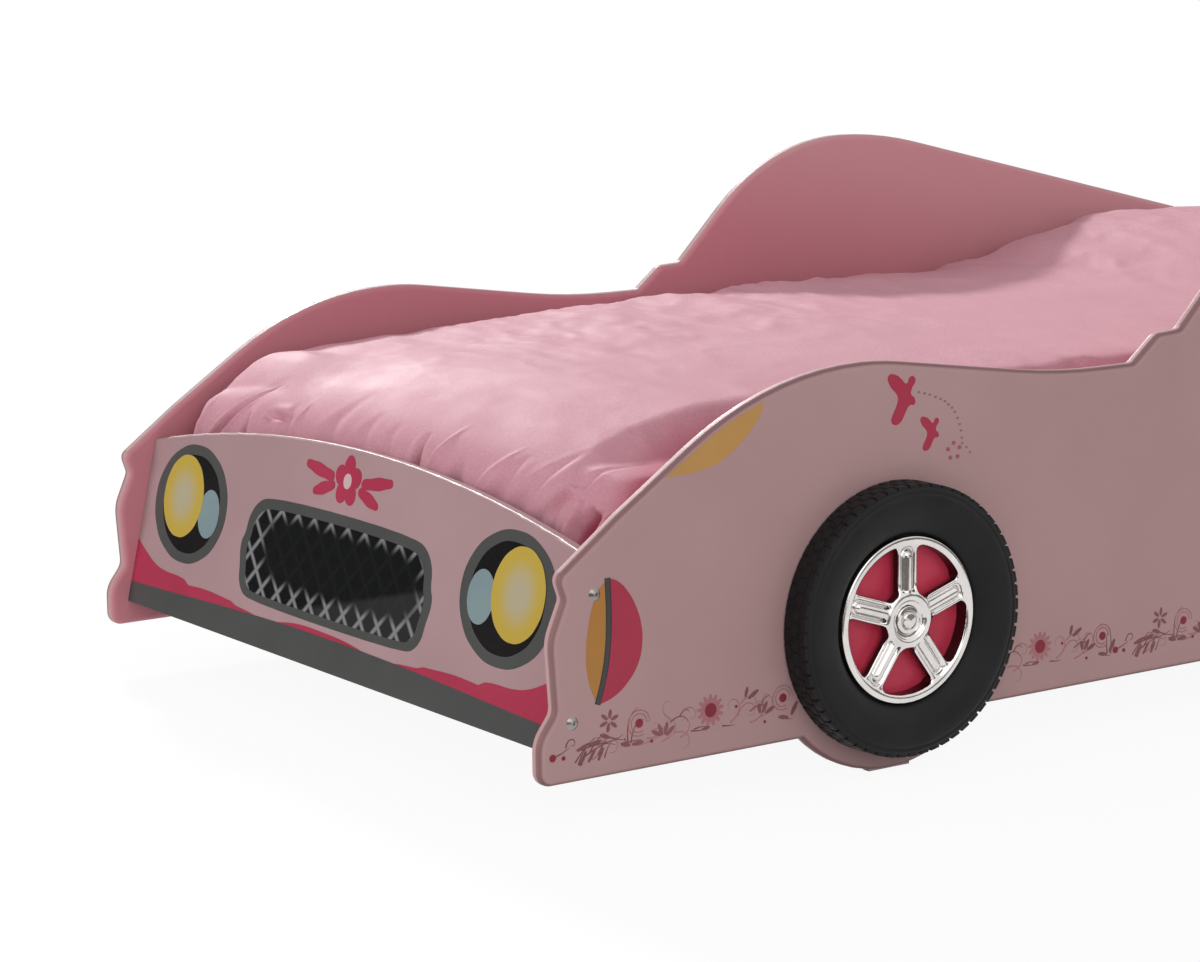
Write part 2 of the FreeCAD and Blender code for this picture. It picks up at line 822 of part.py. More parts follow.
def duvet_section(y, edge, crest, low):
    """Section of the duvet: upright sides, full shoulders and a low crown."""
    half = half_bay - duvet_side_gap
    tall = edge - low
    bulge = min(0.42 * tall, 24.0)
    draw = min(0.5 * tall, 30.0)
    waist = half - min(3.0, 0.1 * tall)
    shoulder = half - draw
    lift = 0.3 * draw
    low_right = Vec(waist - 3.0, y, low)
    side_right = Vec(half, y, edge - bulge)
    top_right = Vec(shoulder, y, edge + lift)
    low_left = Vec(-waist + 3.0, y, low)
    side_left = Vec(-half, y, edge - bulge)
    top_left = Vec(-shoulder, y, edge + lift)
    turn_right = Vec(half - 0.22 * draw, y, edge - 0.18 * bulge)
    turn_left = Vec(-half + 0.22 * draw, y, edge - 0.18 * bulge)
    return Part.Wire([
        Part.makeLine(low_left, low_right),
        Part.makeLine(low_right, side_right),
        Part.Arc(side_right, turn_right, top_right).toShape(),
        Part.Arc(top_right, Vec(0, y, crest), top_left).toShape(),
        Part.Arc(top_left, turn_left, side_left).toShape(),
        Part.makeLine(side_left, low_left),
    ])


def duvet():
    """Duvet that rounds down behind the foot board and rises over the pillow."""
    low = mattress_top - duvet_drop
    foot_crest = front_crown - duvet_foot_dip
    first = front_middle(low) + end_thickness / 2 / math.cos(rake) + bed_length / 2
    top_inner = front_middle(front_crown) + end_thickness / 2 / math.cos(rake) + bed_length / 2
    start = max(first, top_inner) + duvet_foot_gap
    end = foot_run + mattress_length - duvet_head_from_end
    plain_edge = mattress_top + duvet_thickness
    plain_crest = plain_edge + duvet_crown
    high_edge = pillow_base + pillow_height + duvet_over_pillow - 4.0
    high_crest = pillow_base + pillow_height + duvet_over_pillow + 10.0
    rows = []
    for share in (0.0, 0.04, 0.12, 0.28, 0.52, 0.78, 1.0):
        left = 1 - share
        rise = math.sqrt(max(0.0, 1 - left * left))
        edge = low + 6.0 + (plain_edge - low - 6.0) * rise
        crest = foot_crest + (plain_crest - foot_crest) * rise
        rows.append((start + share * duvet_foot_round, edge, crest))
    climb_from = pillow_start - 200.0
    climb_to = pillow_start + 120.0
    rows.append((0.5 * (start + duvet_foot_round + climb_from), plain_edge + 2.0, plain_crest - 4.0))
    for share in (0.0, 0.25, 0.5, 0.75, 1.0):
        blend = share * share * (3 - 2 * share)
        edge = plain_edge + 2.0 + (high_edge - plain_edge - 2.0) * blend
        crest = plain_crest - 6.0 + (high_crest - plain_crest + 6.0) * blend
        rows.append((climb_from + share * (climb_to - climb_from), edge, crest))
    rows.append((end - 30.0, high_edge, high_crest))
    rows.append((end - 8.0, high_edge - 5.0, high_crest - 5.0))
    rows.append((end, high_edge - 16.0, high_crest - 15.0))
    wires = [duvet_section(along(station), edge, crest, low) for station, edge, crest in rows]
    cover = Part.makeLoft(wires, True, True)
    bed = block(
        (-half_bay - 1, along(foot_run - soft_clearance), low - 1),
        (half_bay + 1, along(end + 10), mattress_top + soft_clearance),
    )
    return cover.cut(bed).cut(pillow_shadow(pillow_room))


# Write every node

os.makedirs("parts", exist_ok=True)

left_pieces = {"side_panel": side_panel(), "rail": rail(), "slat_tape": slat_tape()}
wheel_pieces = {"tyre": tyre(), "rim": rim(), "hub_cap": hub_cap(), "wheel_backing": backing()}
for name, side in sides.items():
    for kind, shape in left_pieces.items():
        save(mirrored(shape, side), kind + "_" + name)
    for end, station in wheel_stations.items():
        for kind, shape in wheel_pieces.items():
            placed = shape.copy()
            placed.translate(Vec(outer_face, along(station), wheel_height))
            save(mirrored(placed, side), kind + "_" + end + "_" + name)

save(front_panel(), "front_panel")
save(rear_panel(), "rear_panel")
for index in range(slat_count):
    save(slat(index), "slat_%02d" % (index + 1))
save(connector_bolts(), "connector_bolts")
save(barrel_nuts(), "barrel_nuts")
save(panel_dowels(), "panel_dowels")
save(rail_screws(), "rail_screws")
save(slat_screws(), "slat_screws")
save(wheel_screws(), "wheel_screws")
save(floor_glides(), "floor_glides")
save(mattress(), "mattress")
save(pillow(), "pillow")
save(duvet(), "duvet")
print("bed", round(bed_length), "by", round(2 * (outer_face + tyre_depth)), "by", round(roof_height), "mm")
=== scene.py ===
import math

import bpy
from mathutils import Matrix, Vector, noise


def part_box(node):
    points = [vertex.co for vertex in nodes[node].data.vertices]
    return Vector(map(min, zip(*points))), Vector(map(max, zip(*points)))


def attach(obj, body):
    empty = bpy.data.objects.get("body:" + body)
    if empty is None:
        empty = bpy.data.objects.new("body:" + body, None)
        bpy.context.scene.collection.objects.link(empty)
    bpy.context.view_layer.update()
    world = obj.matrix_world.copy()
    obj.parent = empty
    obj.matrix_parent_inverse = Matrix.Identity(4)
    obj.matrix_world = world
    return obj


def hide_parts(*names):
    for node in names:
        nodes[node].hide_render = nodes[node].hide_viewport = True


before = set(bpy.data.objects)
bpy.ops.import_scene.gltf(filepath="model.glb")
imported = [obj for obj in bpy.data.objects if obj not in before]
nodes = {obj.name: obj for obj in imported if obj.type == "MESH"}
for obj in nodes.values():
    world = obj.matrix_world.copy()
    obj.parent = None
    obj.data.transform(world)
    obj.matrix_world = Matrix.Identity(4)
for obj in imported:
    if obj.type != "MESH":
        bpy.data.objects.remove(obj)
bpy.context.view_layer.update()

mm = 0.001


# ---- small helpers used by every piece

def clamped(value, low, high):
    return max(low, min(high, value))


def ramp(value, low, high):
    # 0 to 1 with soft ends, as value goes from low to high
    share = clamped((value - low) / (high - low), 0.0, 1.0)
    return share * share * (3 - 2 * share)


def bell(distance, width):
    return math.exp(-(distance / width) ** 2)


def deselectAll():
    if bpy.context.object and bpy.context.object.mode != "OBJECT":
        bpy.ops.object.mode_set(mode="OBJECT")
    bpy.ops.object.select_all(action="DESELECT")


def activate(piece):
    deselectAll()
    piece.select_set(True)
    bpy.context.view_layer.objects.active = piece


def applyPlace(piece):
    activate(piece)
    bpy.ops.object.transform_apply(location=True, rotation=True, scale=True)


def applyModifiers(piece):
    activate(piece)
    for modifier in list(piece.modifiers):
        bpy.ops.object.modifier_apply(modifier=modifier.name)


def editMesh(piece, step):
    # one operator call made with the whole mesh selected
    activate(piece)
    bpy.ops.object.mode_set(mode="EDIT")
    bpy.ops.mesh.select_all(action="SELECT")
    step()
    bpy.ops.object.mode_set(mode="OBJECT")


def pickAndEdit(piece, kind, isPicked, step):
    # one operator call made with the edges or faces that the test picks
    activate(piece)
    bpy.ops.object.mode_set(mode="EDIT")
    bpy.ops.mesh.select_mode(type=kind)
    bpy.ops.mesh.select_all(action="DESELECT")
    bpy.ops.object.mode_set(mode="OBJECT")
    for item in piece.data.edges if kind == "EDGE" else piece.data.polygons:
        item.select = isPicked(item)
    bpy.ops.object.mode_set(mode="EDIT")
    step()
    bpy.ops.object.mode_set(mode="OBJECT")


def mergeDoubles(piece, distance=0.00002):
    editMesh(piece, lambda: bpy.ops.mesh.remove_doubles(threshold=distance))


def facesOut(piece):
    editMesh(piece, lambda: bpy.ops.mesh.normals_make_consistent(inside=False))


def smoothShade(piece, degrees):
    activate(piece)
    bpy.ops.object.shade_smooth_by_angle(angle=math.radians(degrees))


def newObject(name, data):
    made = bpy.data.objects.new(name, data)
    bpy.context.scene.collection.objects.link(made)
    return made


def meshOf(name, curve):
    activate(newObject(name, curve))
    bpy.ops.object.convert(target="MESH")
    return bpy.context.object


def closedLine(name, places, thickness=0.0):
    # a ring through the places, a thin tube where it has a thickness
    data = bpy.data.curves.new(name, "CURVE")
    data.dimensions = "3D"
    data.bevel_depth = thickness / 2
    data.bevel_resolution = 2
    spline = data.splines.new("POLY")
    spline.points.add(len(places) - 1)
    spline.use_cyclic_u = True
    for point, place in zip(spline.points, places):
        point.co = tuple(place) + (1,)
    return meshOf(name, data)


def joinPieces(pieces, name):
    activate(pieces[0])
    for piece in pieces[1:]:
        piece.select_set(True)
    if len(pieces) > 1:
        bpy.ops.object.join()
    pieces[0].name = name
    return pieces[0]


def copyPiece(piece, name, matrix=None):
    twin = newObject(name, piece.data.copy())
    if matrix is not None:
        twin.data.transform(matrix)
        if matrix.determinant() < 0:
            twin.data.flip_normals()
    return twin


def copyNode(node, name):
    twin = copyPiece(nodes[node], name)
    mergeDoubles(twin)
    return twin


def remeshed(piece, voxel, soften):
    remesh = piece.modifiers.new("remesh", "REMESH")
    remesh.mode = "VOXEL"
    remesh.voxel_size = voxel
    smooth = piece.modifiers.new("soften", "SMOOTH")
    smooth.factor = 0.5
    smooth.iterations = soften
    applyModifiers(piece)


def subdivided(piece):
    finer = piece.modifiers.new("finer", "SUBSURF")
    finer.levels = 1
    finer.render_levels = 1
    applyModifiers(piece)


def finishPiece(piece, body, slot, material, *replaced):
    piece.data.materials.clear()
    piece.data.materials.append(material)
    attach(piece, body)
    if replaced:
        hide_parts(*replaced)


# ---- shader nodes, written as sums: each helper gives an output to use in the next

def node(tree, kind, sets=None, **settings):
    # an input given as an output of another node is linked, any other is set
    made = tree.nodes.new(kind)
    for key, value in settings.items():
        setattr(made, key, value)
    for key, value in (sets or {}).items():
        if isinstance(value, bpy.types.NodeSocket):
            tree.links.new(value, made.inputs[key])
        else:
            made.inputs[key].default_value = value
    return made


def calc(tree, operation, *values, **settings):
    return node(tree, "ShaderNodeMath", dict(enumerate(values)), operation=operation, **settings).outputs[0]


def spanned(tree, value, low, high, start=0.0, end=1.0, **settings):
    # start to end, as value goes from low to high
    sets = {"Value": value, "From Min": low, "From Max": high, "To Min": start, "To Max": end}
    return node(tree, "ShaderNodeMapRange", sets, **settings).outputs[0]


def spots(tree, place, scale, detail, **more):
    sets = {"Vector": place, "Scale": scale, "Detail": detail, **more}
    return node(tree, "ShaderNodeTexNoise", sets).outputs["Fac"]


def axes(tree, place):
    return node(tree, "ShaderNodeSeparateXYZ", {0: place}).outputs


def grouped(tree, group, place, **values):
    return node(tree, "ShaderNodeGroup", {"Vector": place, **values}, node_tree=group).outputs


def blendColour(tree, factor, first, second):
    sets = {0: factor}
    for socket, colour in ((6, first), (7, second)):
        sets[socket] = colour + (1,) if isinstance(colour, tuple) else colour
    return node(tree, "ShaderNodeMix", sets, data_type="RGBA").outputs[2]


def blendShaders(tree, share, first, second, output):
    mix = node(tree, "ShaderNodeMixShader", {0: share, 1: first.outputs[0], 2: second.outputs[0]})
    tree.links.new(mix.outputs[0], tree.nodes[output].inputs["Surface"])


# ---- camera, light and floor

cameraValues = {
    "place": (3.091, -2.76, 0.903),
    "azimuth": 55.56,
    "tilt": 9.85,
    "roll": -0.75,
    "lens": 96.7,
    "sensor": 36,
    "reach": 200,
}
lightValues = {
    "worldColour": (1, 0.985, 0.985, 1),
    "worldStrength": 0.38,
    # name of the lamp: strength, softness in degrees, direction it stands in
    "lamps": {
        "keyLight": (2.5, 6.0, (-0.847, 0.275, 0.454)),
        "frontLight": (1.05, 40.0, (-0.35, -0.85, 0.38)),
        "sideLight": (0.80, 60.0, (0.85, -0.34, 0.40)),
    },
    "floorSize": 160,
    "floorColour": (0.80, 0.79, 0.79, 1),
    "floorWhite": 0.90,
    "floorGlow": 1.03,
}

cameraData = bpy.data.cameras.new("photoCamera")
cameraData.sensor_fit = "HORIZONTAL"
cameraData.sensor_width = cameraValues["sensor"]
cameraData.lens = cameraValues["lens"]
cameraData.clip_end = cameraValues["reach"]
camera = newObject("photoCamera", cameraData)
camera.matrix_world = (
    Matrix.Translation(cameraValues["place"])
    @ Matrix.Rotation(math.radians(cameraValues["azimuth"]), 4, "Z")
    @ Matrix.Rotation(math.radians(90 - cameraValues["tilt"]), 4, "X")
    @ Matrix.Rotation(math.radians(cameraValues["roll"]), 4, "Z")
)
bpy.context.scene.camera = camera
bpy.context.scene.view_settings.view_transform = "Standard"


def seenRays(tree):
    # 1 for camera, glossy and transmission rays, else 0
    path = node(tree, "ShaderNodeLightPath").outputs
    seen = calc(tree, "MAXIMUM", path["Is Camera Ray"], path["Is Glossy Ray"])
    return calc(tree, "MAXIMUM", seen, path["Is Transmission Ray"])


world = bpy.data.worlds.new("studio")
world.use_nodes = True
bpy.context.scene.world = world
tree = world.node_tree
ambient = tree.nodes["Background"]
ambient.inputs["Color"].default_value = lightValues["worldColour"]
ambient.inputs["Strength"].default_value = lightValues["worldStrength"]
backdrop = node(tree, "ShaderNodeBackground", {"Color": (1, 1, 1, 1)})
blendShaders(tree, seenRays(tree), ambient, backdrop, "World Output")

for name, (strength, softness, stand) in lightValues["lamps"].items():
    lampData = bpy.data.lights.new(name, "SUN")
    lampData.energy = strength
    lampData.angle = math.radians(softness)
    lamp = newObject(name, lampData)
    lamp.rotation_euler = Vector(stand).to_track_quat("Z", "Y").to_euler()

deselectAll()
bpy.ops.mesh.primitive_plane_add(size=lightValues["floorSize"], location=(0, 0, 0))
floor = bpy.context.object
floor.name = "studioFloor"
floorMaterial = bpy.data.materials.new("paleFloor")
floorMaterial.use_nodes = True
tree = floorMaterial.node_tree
tree.nodes.remove(tree.nodes["Principled BSDF"])
diffuse = node(tree, "ShaderNodeBsdfDiffuse", {"Color": lightValues["floorColour"]})
glow = node(tree, "ShaderNodeEmission", {"Strength": lightValues["floorGlow"]})
share = calc(tree, "MULTIPLY", seenRays(tree), lightValues["floorWhite"])
blendShaders(tree, share, diffuse, glow, "Material Output")
floor.data.materials.append(floorMaterial)

cardValues = {
    # grey cards that only reflections see, as (turn round the part, half width in degrees)
    "cards": ((34, 26), (146, 26), (214, 26), (326, 26)),
    "colour": (0.20, 0.185, 0.17, 1),
    "near": 0.75,
    "far": 4.2,
    "height": 1.3,
    "lift": 0.012,
    "taper": 0.55,
    "out": (0.45, 0.55),        # how far each stands off the middle of the bed
}


def makeCards():
    # a dark strip on the floor that turns up into a wall, well outside the part
    values = cardValues
    material = bpy.data.materials.new("greyCard")
    material.use_nodes = True
    shader = material.node_tree.nodes["Principled BSDF"]
    for socket, value in (("Base Color", values["colour"]), ("Roughness", 0.9), ("Specular IOR Level", 0.0)):
        shader.inputs[socket].default_value = value
    near, far = values["near"], values["far"]
    middle = (near + far) / 2
    for index, (turn, half) in enumerate(values["cards"]):
        deselectAll()
        bpy.ops.mesh.primitive_plane_add(size=1, location=(middle, 0, values["lift"]))
        card = bpy.context.object
        card.name = "greyCard" + str(index + 1)
        card.scale = (far - near, 2 * far * math.tan(math.radians(half)), 1)
        applyPlace(card)
        corners = card.data.vertices
        for vertex in corners:
            if vertex.co.x < middle:
                vertex.co.y *= values["taper"]
        wall = {"value": (0, 0, values["height"])}
        pickAndEdit(card, "EDGE", lambda edge: min(corners[i].co.x for i in edge.vertices) > far - 0.01,
                    lambda: bpy.ops.mesh.extrude_region_move(TRANSFORM_OT_translate=wall))
        angle = math.radians(turn)
        outX, outY = values["out"]
        out = Vector((math.copysign(outX, math.cos(angle)), math.copysign(outY, math.sin(angle)), 0))
        card.data.transform(Matrix.Translation(out) @ Matrix.Rotation(angle, 4, "Z"))
        for ray in ("camera", "diffuse", "shadow", "transmission"):
            setattr(card, "visible_" + ray, False)
        card.data.materials.append(material)


makeCards()
print("camera, light and floor set")


# ---- shared effects, each a shader node group

def newGroup(name, inputs, outputs):
    # every group takes a Vector and numbers, and gives numbers
    group = bpy.data.node_groups.new(name, "ShaderNodeTree")
    socket = group.interface.new_socket
    socket(name="Vector", in_out="INPUT", socket_type="NodeSocketVector")
    for word, value in inputs.items():
        socket(name=word, in_out="INPUT", socket_type="NodeSocketFloat").default_value = value
    for word in outputs:
        socket(name=word, in_out="OUTPUT", socket_type="NodeSocketFloat")
    return group, group.nodes.new("NodeGroupInput").outputs, group.nodes.new("NodeGroupOutput").inputs


def makeMottle():
    # slow cloudy change over a surface, between Low and High
    group, start, end = newGroup("mottle", {"Scale": 6.0, "Low": 0.0, "High": 1.0}, ["Value"])
    clouds = spots(group, start["Vector"], start["Scale"], 4.0, Roughness=0.55)
    group.links.new(spanned(group, clouds, 0.3, 0.7, start["Low"], start["High"]), end["Value"])
    return group


def makeEdgeHighlight():
    # painted highlight: 1 along sharp or tightly rounded edges, 0 on open faces
    group, start, end = newGroup("paintedEdgeHighlight", {"Strength": 1.0}, ["Mask"])
    soft = node(group, "ShaderNodeBevel", {"Radius": 0.004}, samples=4).outputs["Normal"]
    shape = node(group, "ShaderNodeNewGeometry").outputs["Normal"]
    alike = node(group, "ShaderNodeVectorMath", {0: soft, 1: shape}, operation="DOT_PRODUCT").outputs["Value"]
    patchy = spanned(group, spots(group, start["Vector"], 90.0, 3.0), 0.3, 0.65, 0.45, 1.0)
    highlightShare = calc(group, "MULTIPLY", spanned(group, alike, 0.99, 0.78), patchy)
    group.links.new(calc(group, "MULTIPLY", highlightShare, start["Strength"], use_clamp=True), end["Mask"])
    return group


def makeWeave():
    # plain weave: Height for a bump, Tint for the colour of the threads
    group, start, end = newGroup("weave", {"Threads": 900.0}, ["Height", "Tint"])
    split = axes(group, start["Vector"])
    waves = [calc(group, "SINE", calc(group, "MULTIPLY", split[axis], start["Threads"])) for axis in ("X", "Y")]
    fray = spots(group, start["Vector"], 320.0, 2.0)
    height = calc(group, "MULTIPLY_ADD", calc(group, "MULTIPLY", *waves), 0.35, fray)
    group.links.new(height, end["Height"])
    group.links.new(spanned(group, fray, 0.3, 0.7), end["Tint"])
    return group


def makeGrain():
    # wood grain that runs along the stretched axis of the vector given
    group, start, end = newGroup("grain", {"Rings": 30.0}, ["Streak", "Height"])
    broad = spots(group, start["Vector"], start["Rings"], 3.0, Distortion=0.6)
    fine = spots(group, start["Vector"], 260.0, 2.0)
    wave = calc(group, "SINE", calc(group, "MULTIPLY", broad, 14.0))
    streak = spanned(group, calc(group, "MULTIPLY_ADD", wave, 0.35, fine), 0.1, 0.95)
    group.links.new(streak, end["Streak"])
    group.links.new(fine, end["Height"])
    return group


mottle = makeMottle()
paintedEdgeHighlight = makeEdgeHighlight()
weave = makeWeave()
grain = makeGrain()
print("shared effects ready")


# ---- materials

def newMaterial(name, roughness, metallic=0.0, coat=0.0, specular=0.5):
    material = bpy.data.materials.new(name)
    material.use_nodes = True
    tree = material.node_tree
    shader = tree.nodes["Principled BSDF"]
    for socket, value in (("Roughness", roughness), ("Metallic", metallic), ("Coat Weight", coat),
                          ("Coat Roughness", 0.08), ("Specular IOR Level", specular)):
        shader.inputs[socket].default_value = value
    return material, tree, shader, node(tree, "ShaderNodeTexCoord").outputs["Object"]


def clouded(tree, place, scale, low=0.0, high=1.0):
    return grouped(tree, mottle, place, Scale=scale, Low=low, High=high)[0]


def addGloss(tree, shader, place, scale, low, high):
    tree.links.new(clouded(tree, place, scale, low, high), shader.inputs["Roughness"])


def addBump(tree, shader, height, depth, distance):
    bump = node(tree, "ShaderNodeBump", {"Strength": depth, "Distance": distance, "Height": height})
    tree.links.new(bump.outputs["Normal"], shader.inputs["Normal"])


def makeClouded(name, deep, pale, roughness, cloud, **finish):
    # any plain stuff, its colour uneven between deep and pale
    material, tree, shader, place = newMaterial(name, roughness, **finish)
    tree.links.new(blendColour(tree, clouded(tree, place, cloud), deep, pale), shader.inputs["Base Color"])
    return material, tree, shader, place


def makeInk(name, deep, pale, roughness=0.3, specular=0.2):
    # printed ink under the same clear lacquer
    material, tree, shader, place = makeClouded(name, deep, pale, roughness, 7.0, specular=specular)
    addGloss(tree, shader, place, 18.0, roughness - 0.02, roughness + 0.03)
    return material


def makeChrome(name, colour, roughness):
    shade = tuple(0.82 * value for value in colour)
    material, tree, shader, place = makeClouded(name, shade, colour, roughness, 40.0, metallic=1.0)
    addGloss(tree, shader, place, 75.0, roughness * 0.7, roughness * 1.5)
    return material


def makePlain(name, deep, pale, roughness, scale, bumpScale, bumpDepth, **finish):
    # moulded or felted stuff with a fine skin
    material, tree, shader, place = makeClouded(name, deep, pale, roughness, scale, **finish)
    addGloss(tree, shader, place, scale * 2, roughness - 0.06, roughness + 0.06)
    addBump(tree, shader, spots(tree, place, bumpScale, 3.0), bumpDepth, 0.001)
    return material


def makeWood(name, deep, pale, stretch, rings, roughness):
    material, tree, shader, place = newMaterial(name, roughness)
    along = node(tree, "ShaderNodeMapping", {"Vector": place, "Scale": stretch}).outputs[0]
    lines = grouped(tree, grain, along, Rings=rings)
    tree.links.new(blendColour(tree, lines["Streak"], deep, pale), shader.inputs["Base Color"])
    addGloss(tree, shader, place, 30.0, roughness - 0.08, roughness + 0.08)
    addBump(tree, shader, lines["Height"], 0.15, 0.0008)
    return material


def makeCloth(name, deep, pale, roughness, threads, sheen, tint, bumpDepth, specular=0.08, fold=None):
    # fold: a deeper colour laid where the foldShade attribute says, painted shade between gathers, at the near front
    # corner and along the near side
    material, tree, shader, place = newMaterial(name, roughness, specular=specular)
    fibres = grouped(tree, weave, place, Threads=threads)
    base = blendColour(tree, clouded(tree, place, 5.0), deep, pale)
    base = blendColour(tree, fibres["Tint"], tuple(0.93 * value for value in deep), base)
    if fold:
        shade = node(tree, "ShaderNodeAttribute", attribute_name="foldShade").outputs["Fac"]
        base = blendColour(tree, shade, base, fold)
    tree.links.new(base, shader.inputs["Base Color"])
    for socket, value in (("Sheen Weight", sheen), ("Sheen Roughness", 0.4), ("Sheen Tint", tint + (1,))):
        shader.inputs[socket].default_value = value
    addGloss(tree, shader, place, 11.0, roughness - 0.06, roughness + 0.08)
    addBump(tree, shader, fibres["Height"], bumpDepth, 0.0004)
    return material


lacquerValues = {
    # side: the inside colours are painted bounce light from the duvet on the inner faces, deeper low down, the turned
    # colour is a painted shade line on the outer rounded edge, and the edge colour is a painted highlight
    "side": {"deep": (0.463, 0.288, 0.291), "pale": (0.545, 0.348, 0.346), "edge": (0.47, 0.31, 0.315),
             "inside": (0.660, 0.339, 0.369), "insideLow": (0.590, 0.231, 0.274), "turned": (0.27, 0.145, 0.15),
             "cloud": 2.4, "rub": 0.4, "roughness": 0.48, "coat": 0.02},
    # front: one paint with the side boards, set darker here and paler on the sides for how the light falls on each:
    # painted shade and light
    "front": {"deep": (0.375, 0.237, 0.247), "pale": (0.430, 0.277, 0.287), "edge": (0.41, 0.27, 0.277),
              "cloud": 3.5, "rub": 0.4, "roughness": 0.44, "coat": 0.02},
    # distances from the middle of the bed between which a colour comes in: the painted bounce light on the inner
    # face, and the painted shade line on the outer rounded edge
    "insideFace": (0.4770, 0.4708),
    "edgeShadeIn": (0.4790, 0.4825),
    "edgeShadeOut": (0.48885, 0.4868),
    # heights between which the inside's painted bounce light goes from its low to its high colour, and their fall
    # towards the head
    "insideHeights": (0.40, 0.64),
    "insideFall": 0.25,
}


def acrossMask(tree, place, key):
    # 0 to 1 with the distance from the middle of the bed
    side = calc(tree, "ABSOLUTE", axes(tree, place)["X"])
    return spanned(tree, side, *lacquerValues[key], interpolation_type="SMOOTHSTEP")


def makeLacquer(name, values):
    roughness = values["roughness"]
    material, tree, shader, place = newMaterial(name, roughness, coat=values["coat"], specular=0.12)
    rub = grouped(tree, paintedEdgeHighlight, place, Strength=values["rub"])[0]
    base = blendColour(tree, clouded(tree, place, values["cloud"]), values["deep"], values["pale"])
    # the edge colour laid along the edges is a painted highlight
    base = blendColour(tree, rub, base, values["edge"])
    # the inner faces take a deeper pink that stands in for light bounced from the duvet, deepest low down: painted
    # bounce light
    if "inside" in values:
        split = axes(tree, place)
        rise = calc(tree, "MULTIPLY_ADD", split["Y"], lacquerValues["insideFall"], split["Z"])
        high = spanned(tree, rise, *lacquerValues["insideHeights"], interpolation_type="SMOOTHSTEP")
        inside = blendColour(tree, high, values["insideLow"], values["inside"])
        base = blendColour(tree, acrossMask(tree, place, "insideFace"), base, inside)
        # a dark band on the outer rounded edge, in the turned colour: painted shade line
        turned = calc(tree, "MULTIPLY", acrossMask(tree, place, "edgeShadeIn"), acrossMask(tree, place, "edgeShadeOut"))
        base = blendColour(tree, turned, base, values["turned"])
    tree.links.new(base, shader.inputs["Base Color"])
    addGloss(tree, shader, place, 28.0, roughness - 0.05, roughness + 0.07)
    addBump(tree, shader, spots(tree, place, 420.0, 2.0), 0.05, 0.0006)
    return material


lensValues = {
    "across": (0.324, 0.420),        # the glass from side to side and from foot to top, in metres
    "upward": (0.174, 0.272),
    "rim": (0.22, 0.85),
    "middleColour": (0.46, 0.400, 0.260),
    "rimColour": (0.53, 0.375, 0.062),
}


def makeLens():
    # yellow lamp glass: pale in the middle, deep at the rim, on one or the other side of the face
    material, tree, shader, place = newMaterial("inkLens", 0.22, specular=0.25)
    values = lensValues
    split = axes(tree, place)
    across = spanned(tree, calc(tree, "ABSOLUTE", split["X"]), *values["across"], -1.0, 1.0, clamp=False)
    upward = spanned(tree, split["Z"], *values["upward"], -1.0, 1.0, clamp=False)
    join = node(tree, "ShaderNodeCombineXYZ", {"X": across, "Y": upward}).outputs[0]
    reach = node(tree, "ShaderNodeVectorMath", {0: join}, operation="LENGTH").outputs["Value"]
    rim = spanned(tree, reach, *values["rim"], interpolation_type="SMOOTHSTEP")
    tree.links.new(blendColour(tree, rim, values["middleColour"], values["rimColour"]), shader.inputs["Base Color"])
    return material


grilleValues = {
    "pitch": 0.0375,
    "slope": 1.02,
    "wire": (0.12, 0.46),
    "across": (-0.172, 0.194),
    "upward": (0.151, 0.238),
    "powers": (7.0, 2.6),            # how square the dark middle is each way
    "border": (0.36, 1.10, 0.015, 1.0),
    "glossSlope": 0.24,
    "gloss": (-0.1545, -0.1485, 0.0, 0.085),
    "dark": (0.006, 0.007, 0.008),
    "wireColour": (0.24, 0.24, 0.245),
}


def makeGrille():
    # printed diamond mesh, clear at the border and lost in a dark gloss in the middle
    material, tree, shader, place = newMaterial("inkGrille", 0.14, specular=0.14)
    values = grilleValues
    split = axes(tree, place)
    bars = []
    for turn in (1.0, -1.0):
        run = calc(tree, "ADD", split["X"], calc(tree, "MULTIPLY", split["Z"], turn * values["slope"]))
        wave = calc(tree, "SINE", calc(tree, "MULTIPLY", run, math.pi / values["pitch"]))
        bars.append(spanned(tree, calc(tree, "ABSOLUTE", wave), *values["wire"], 1.0, 0.0))
    powers = []
    for axis, key, power in (("X", "across", values["powers"][0]), ("Z", "upward", values["powers"][1])):
        share = calc(tree, "ABSOLUTE", spanned(tree, split[axis], *values[key], -1, 1))
        powers.append(calc(tree, "POWER", share, power))
    border = spanned(tree, calc(tree, "ADD", *powers), *values["border"], interpolation_type="SMOOTHSTEP")
    shown = calc(tree, "MULTIPLY", calc(tree, "MAXIMUM", *bars), border)
    # a slanting line, under which the gloss is paler
    below = calc(tree, "SUBTRACT", calc(tree, "MULTIPLY", split["X"], values["glossSlope"]), split["Z"])
    lit = calc(tree, "ADD", shown, spanned(tree, below, *values["gloss"]), use_clamp=True)
    tree.links.new(blendColour(tree, lit, values["dark"], values["wireColour"]), shader.inputs["Base Color"])
    return material


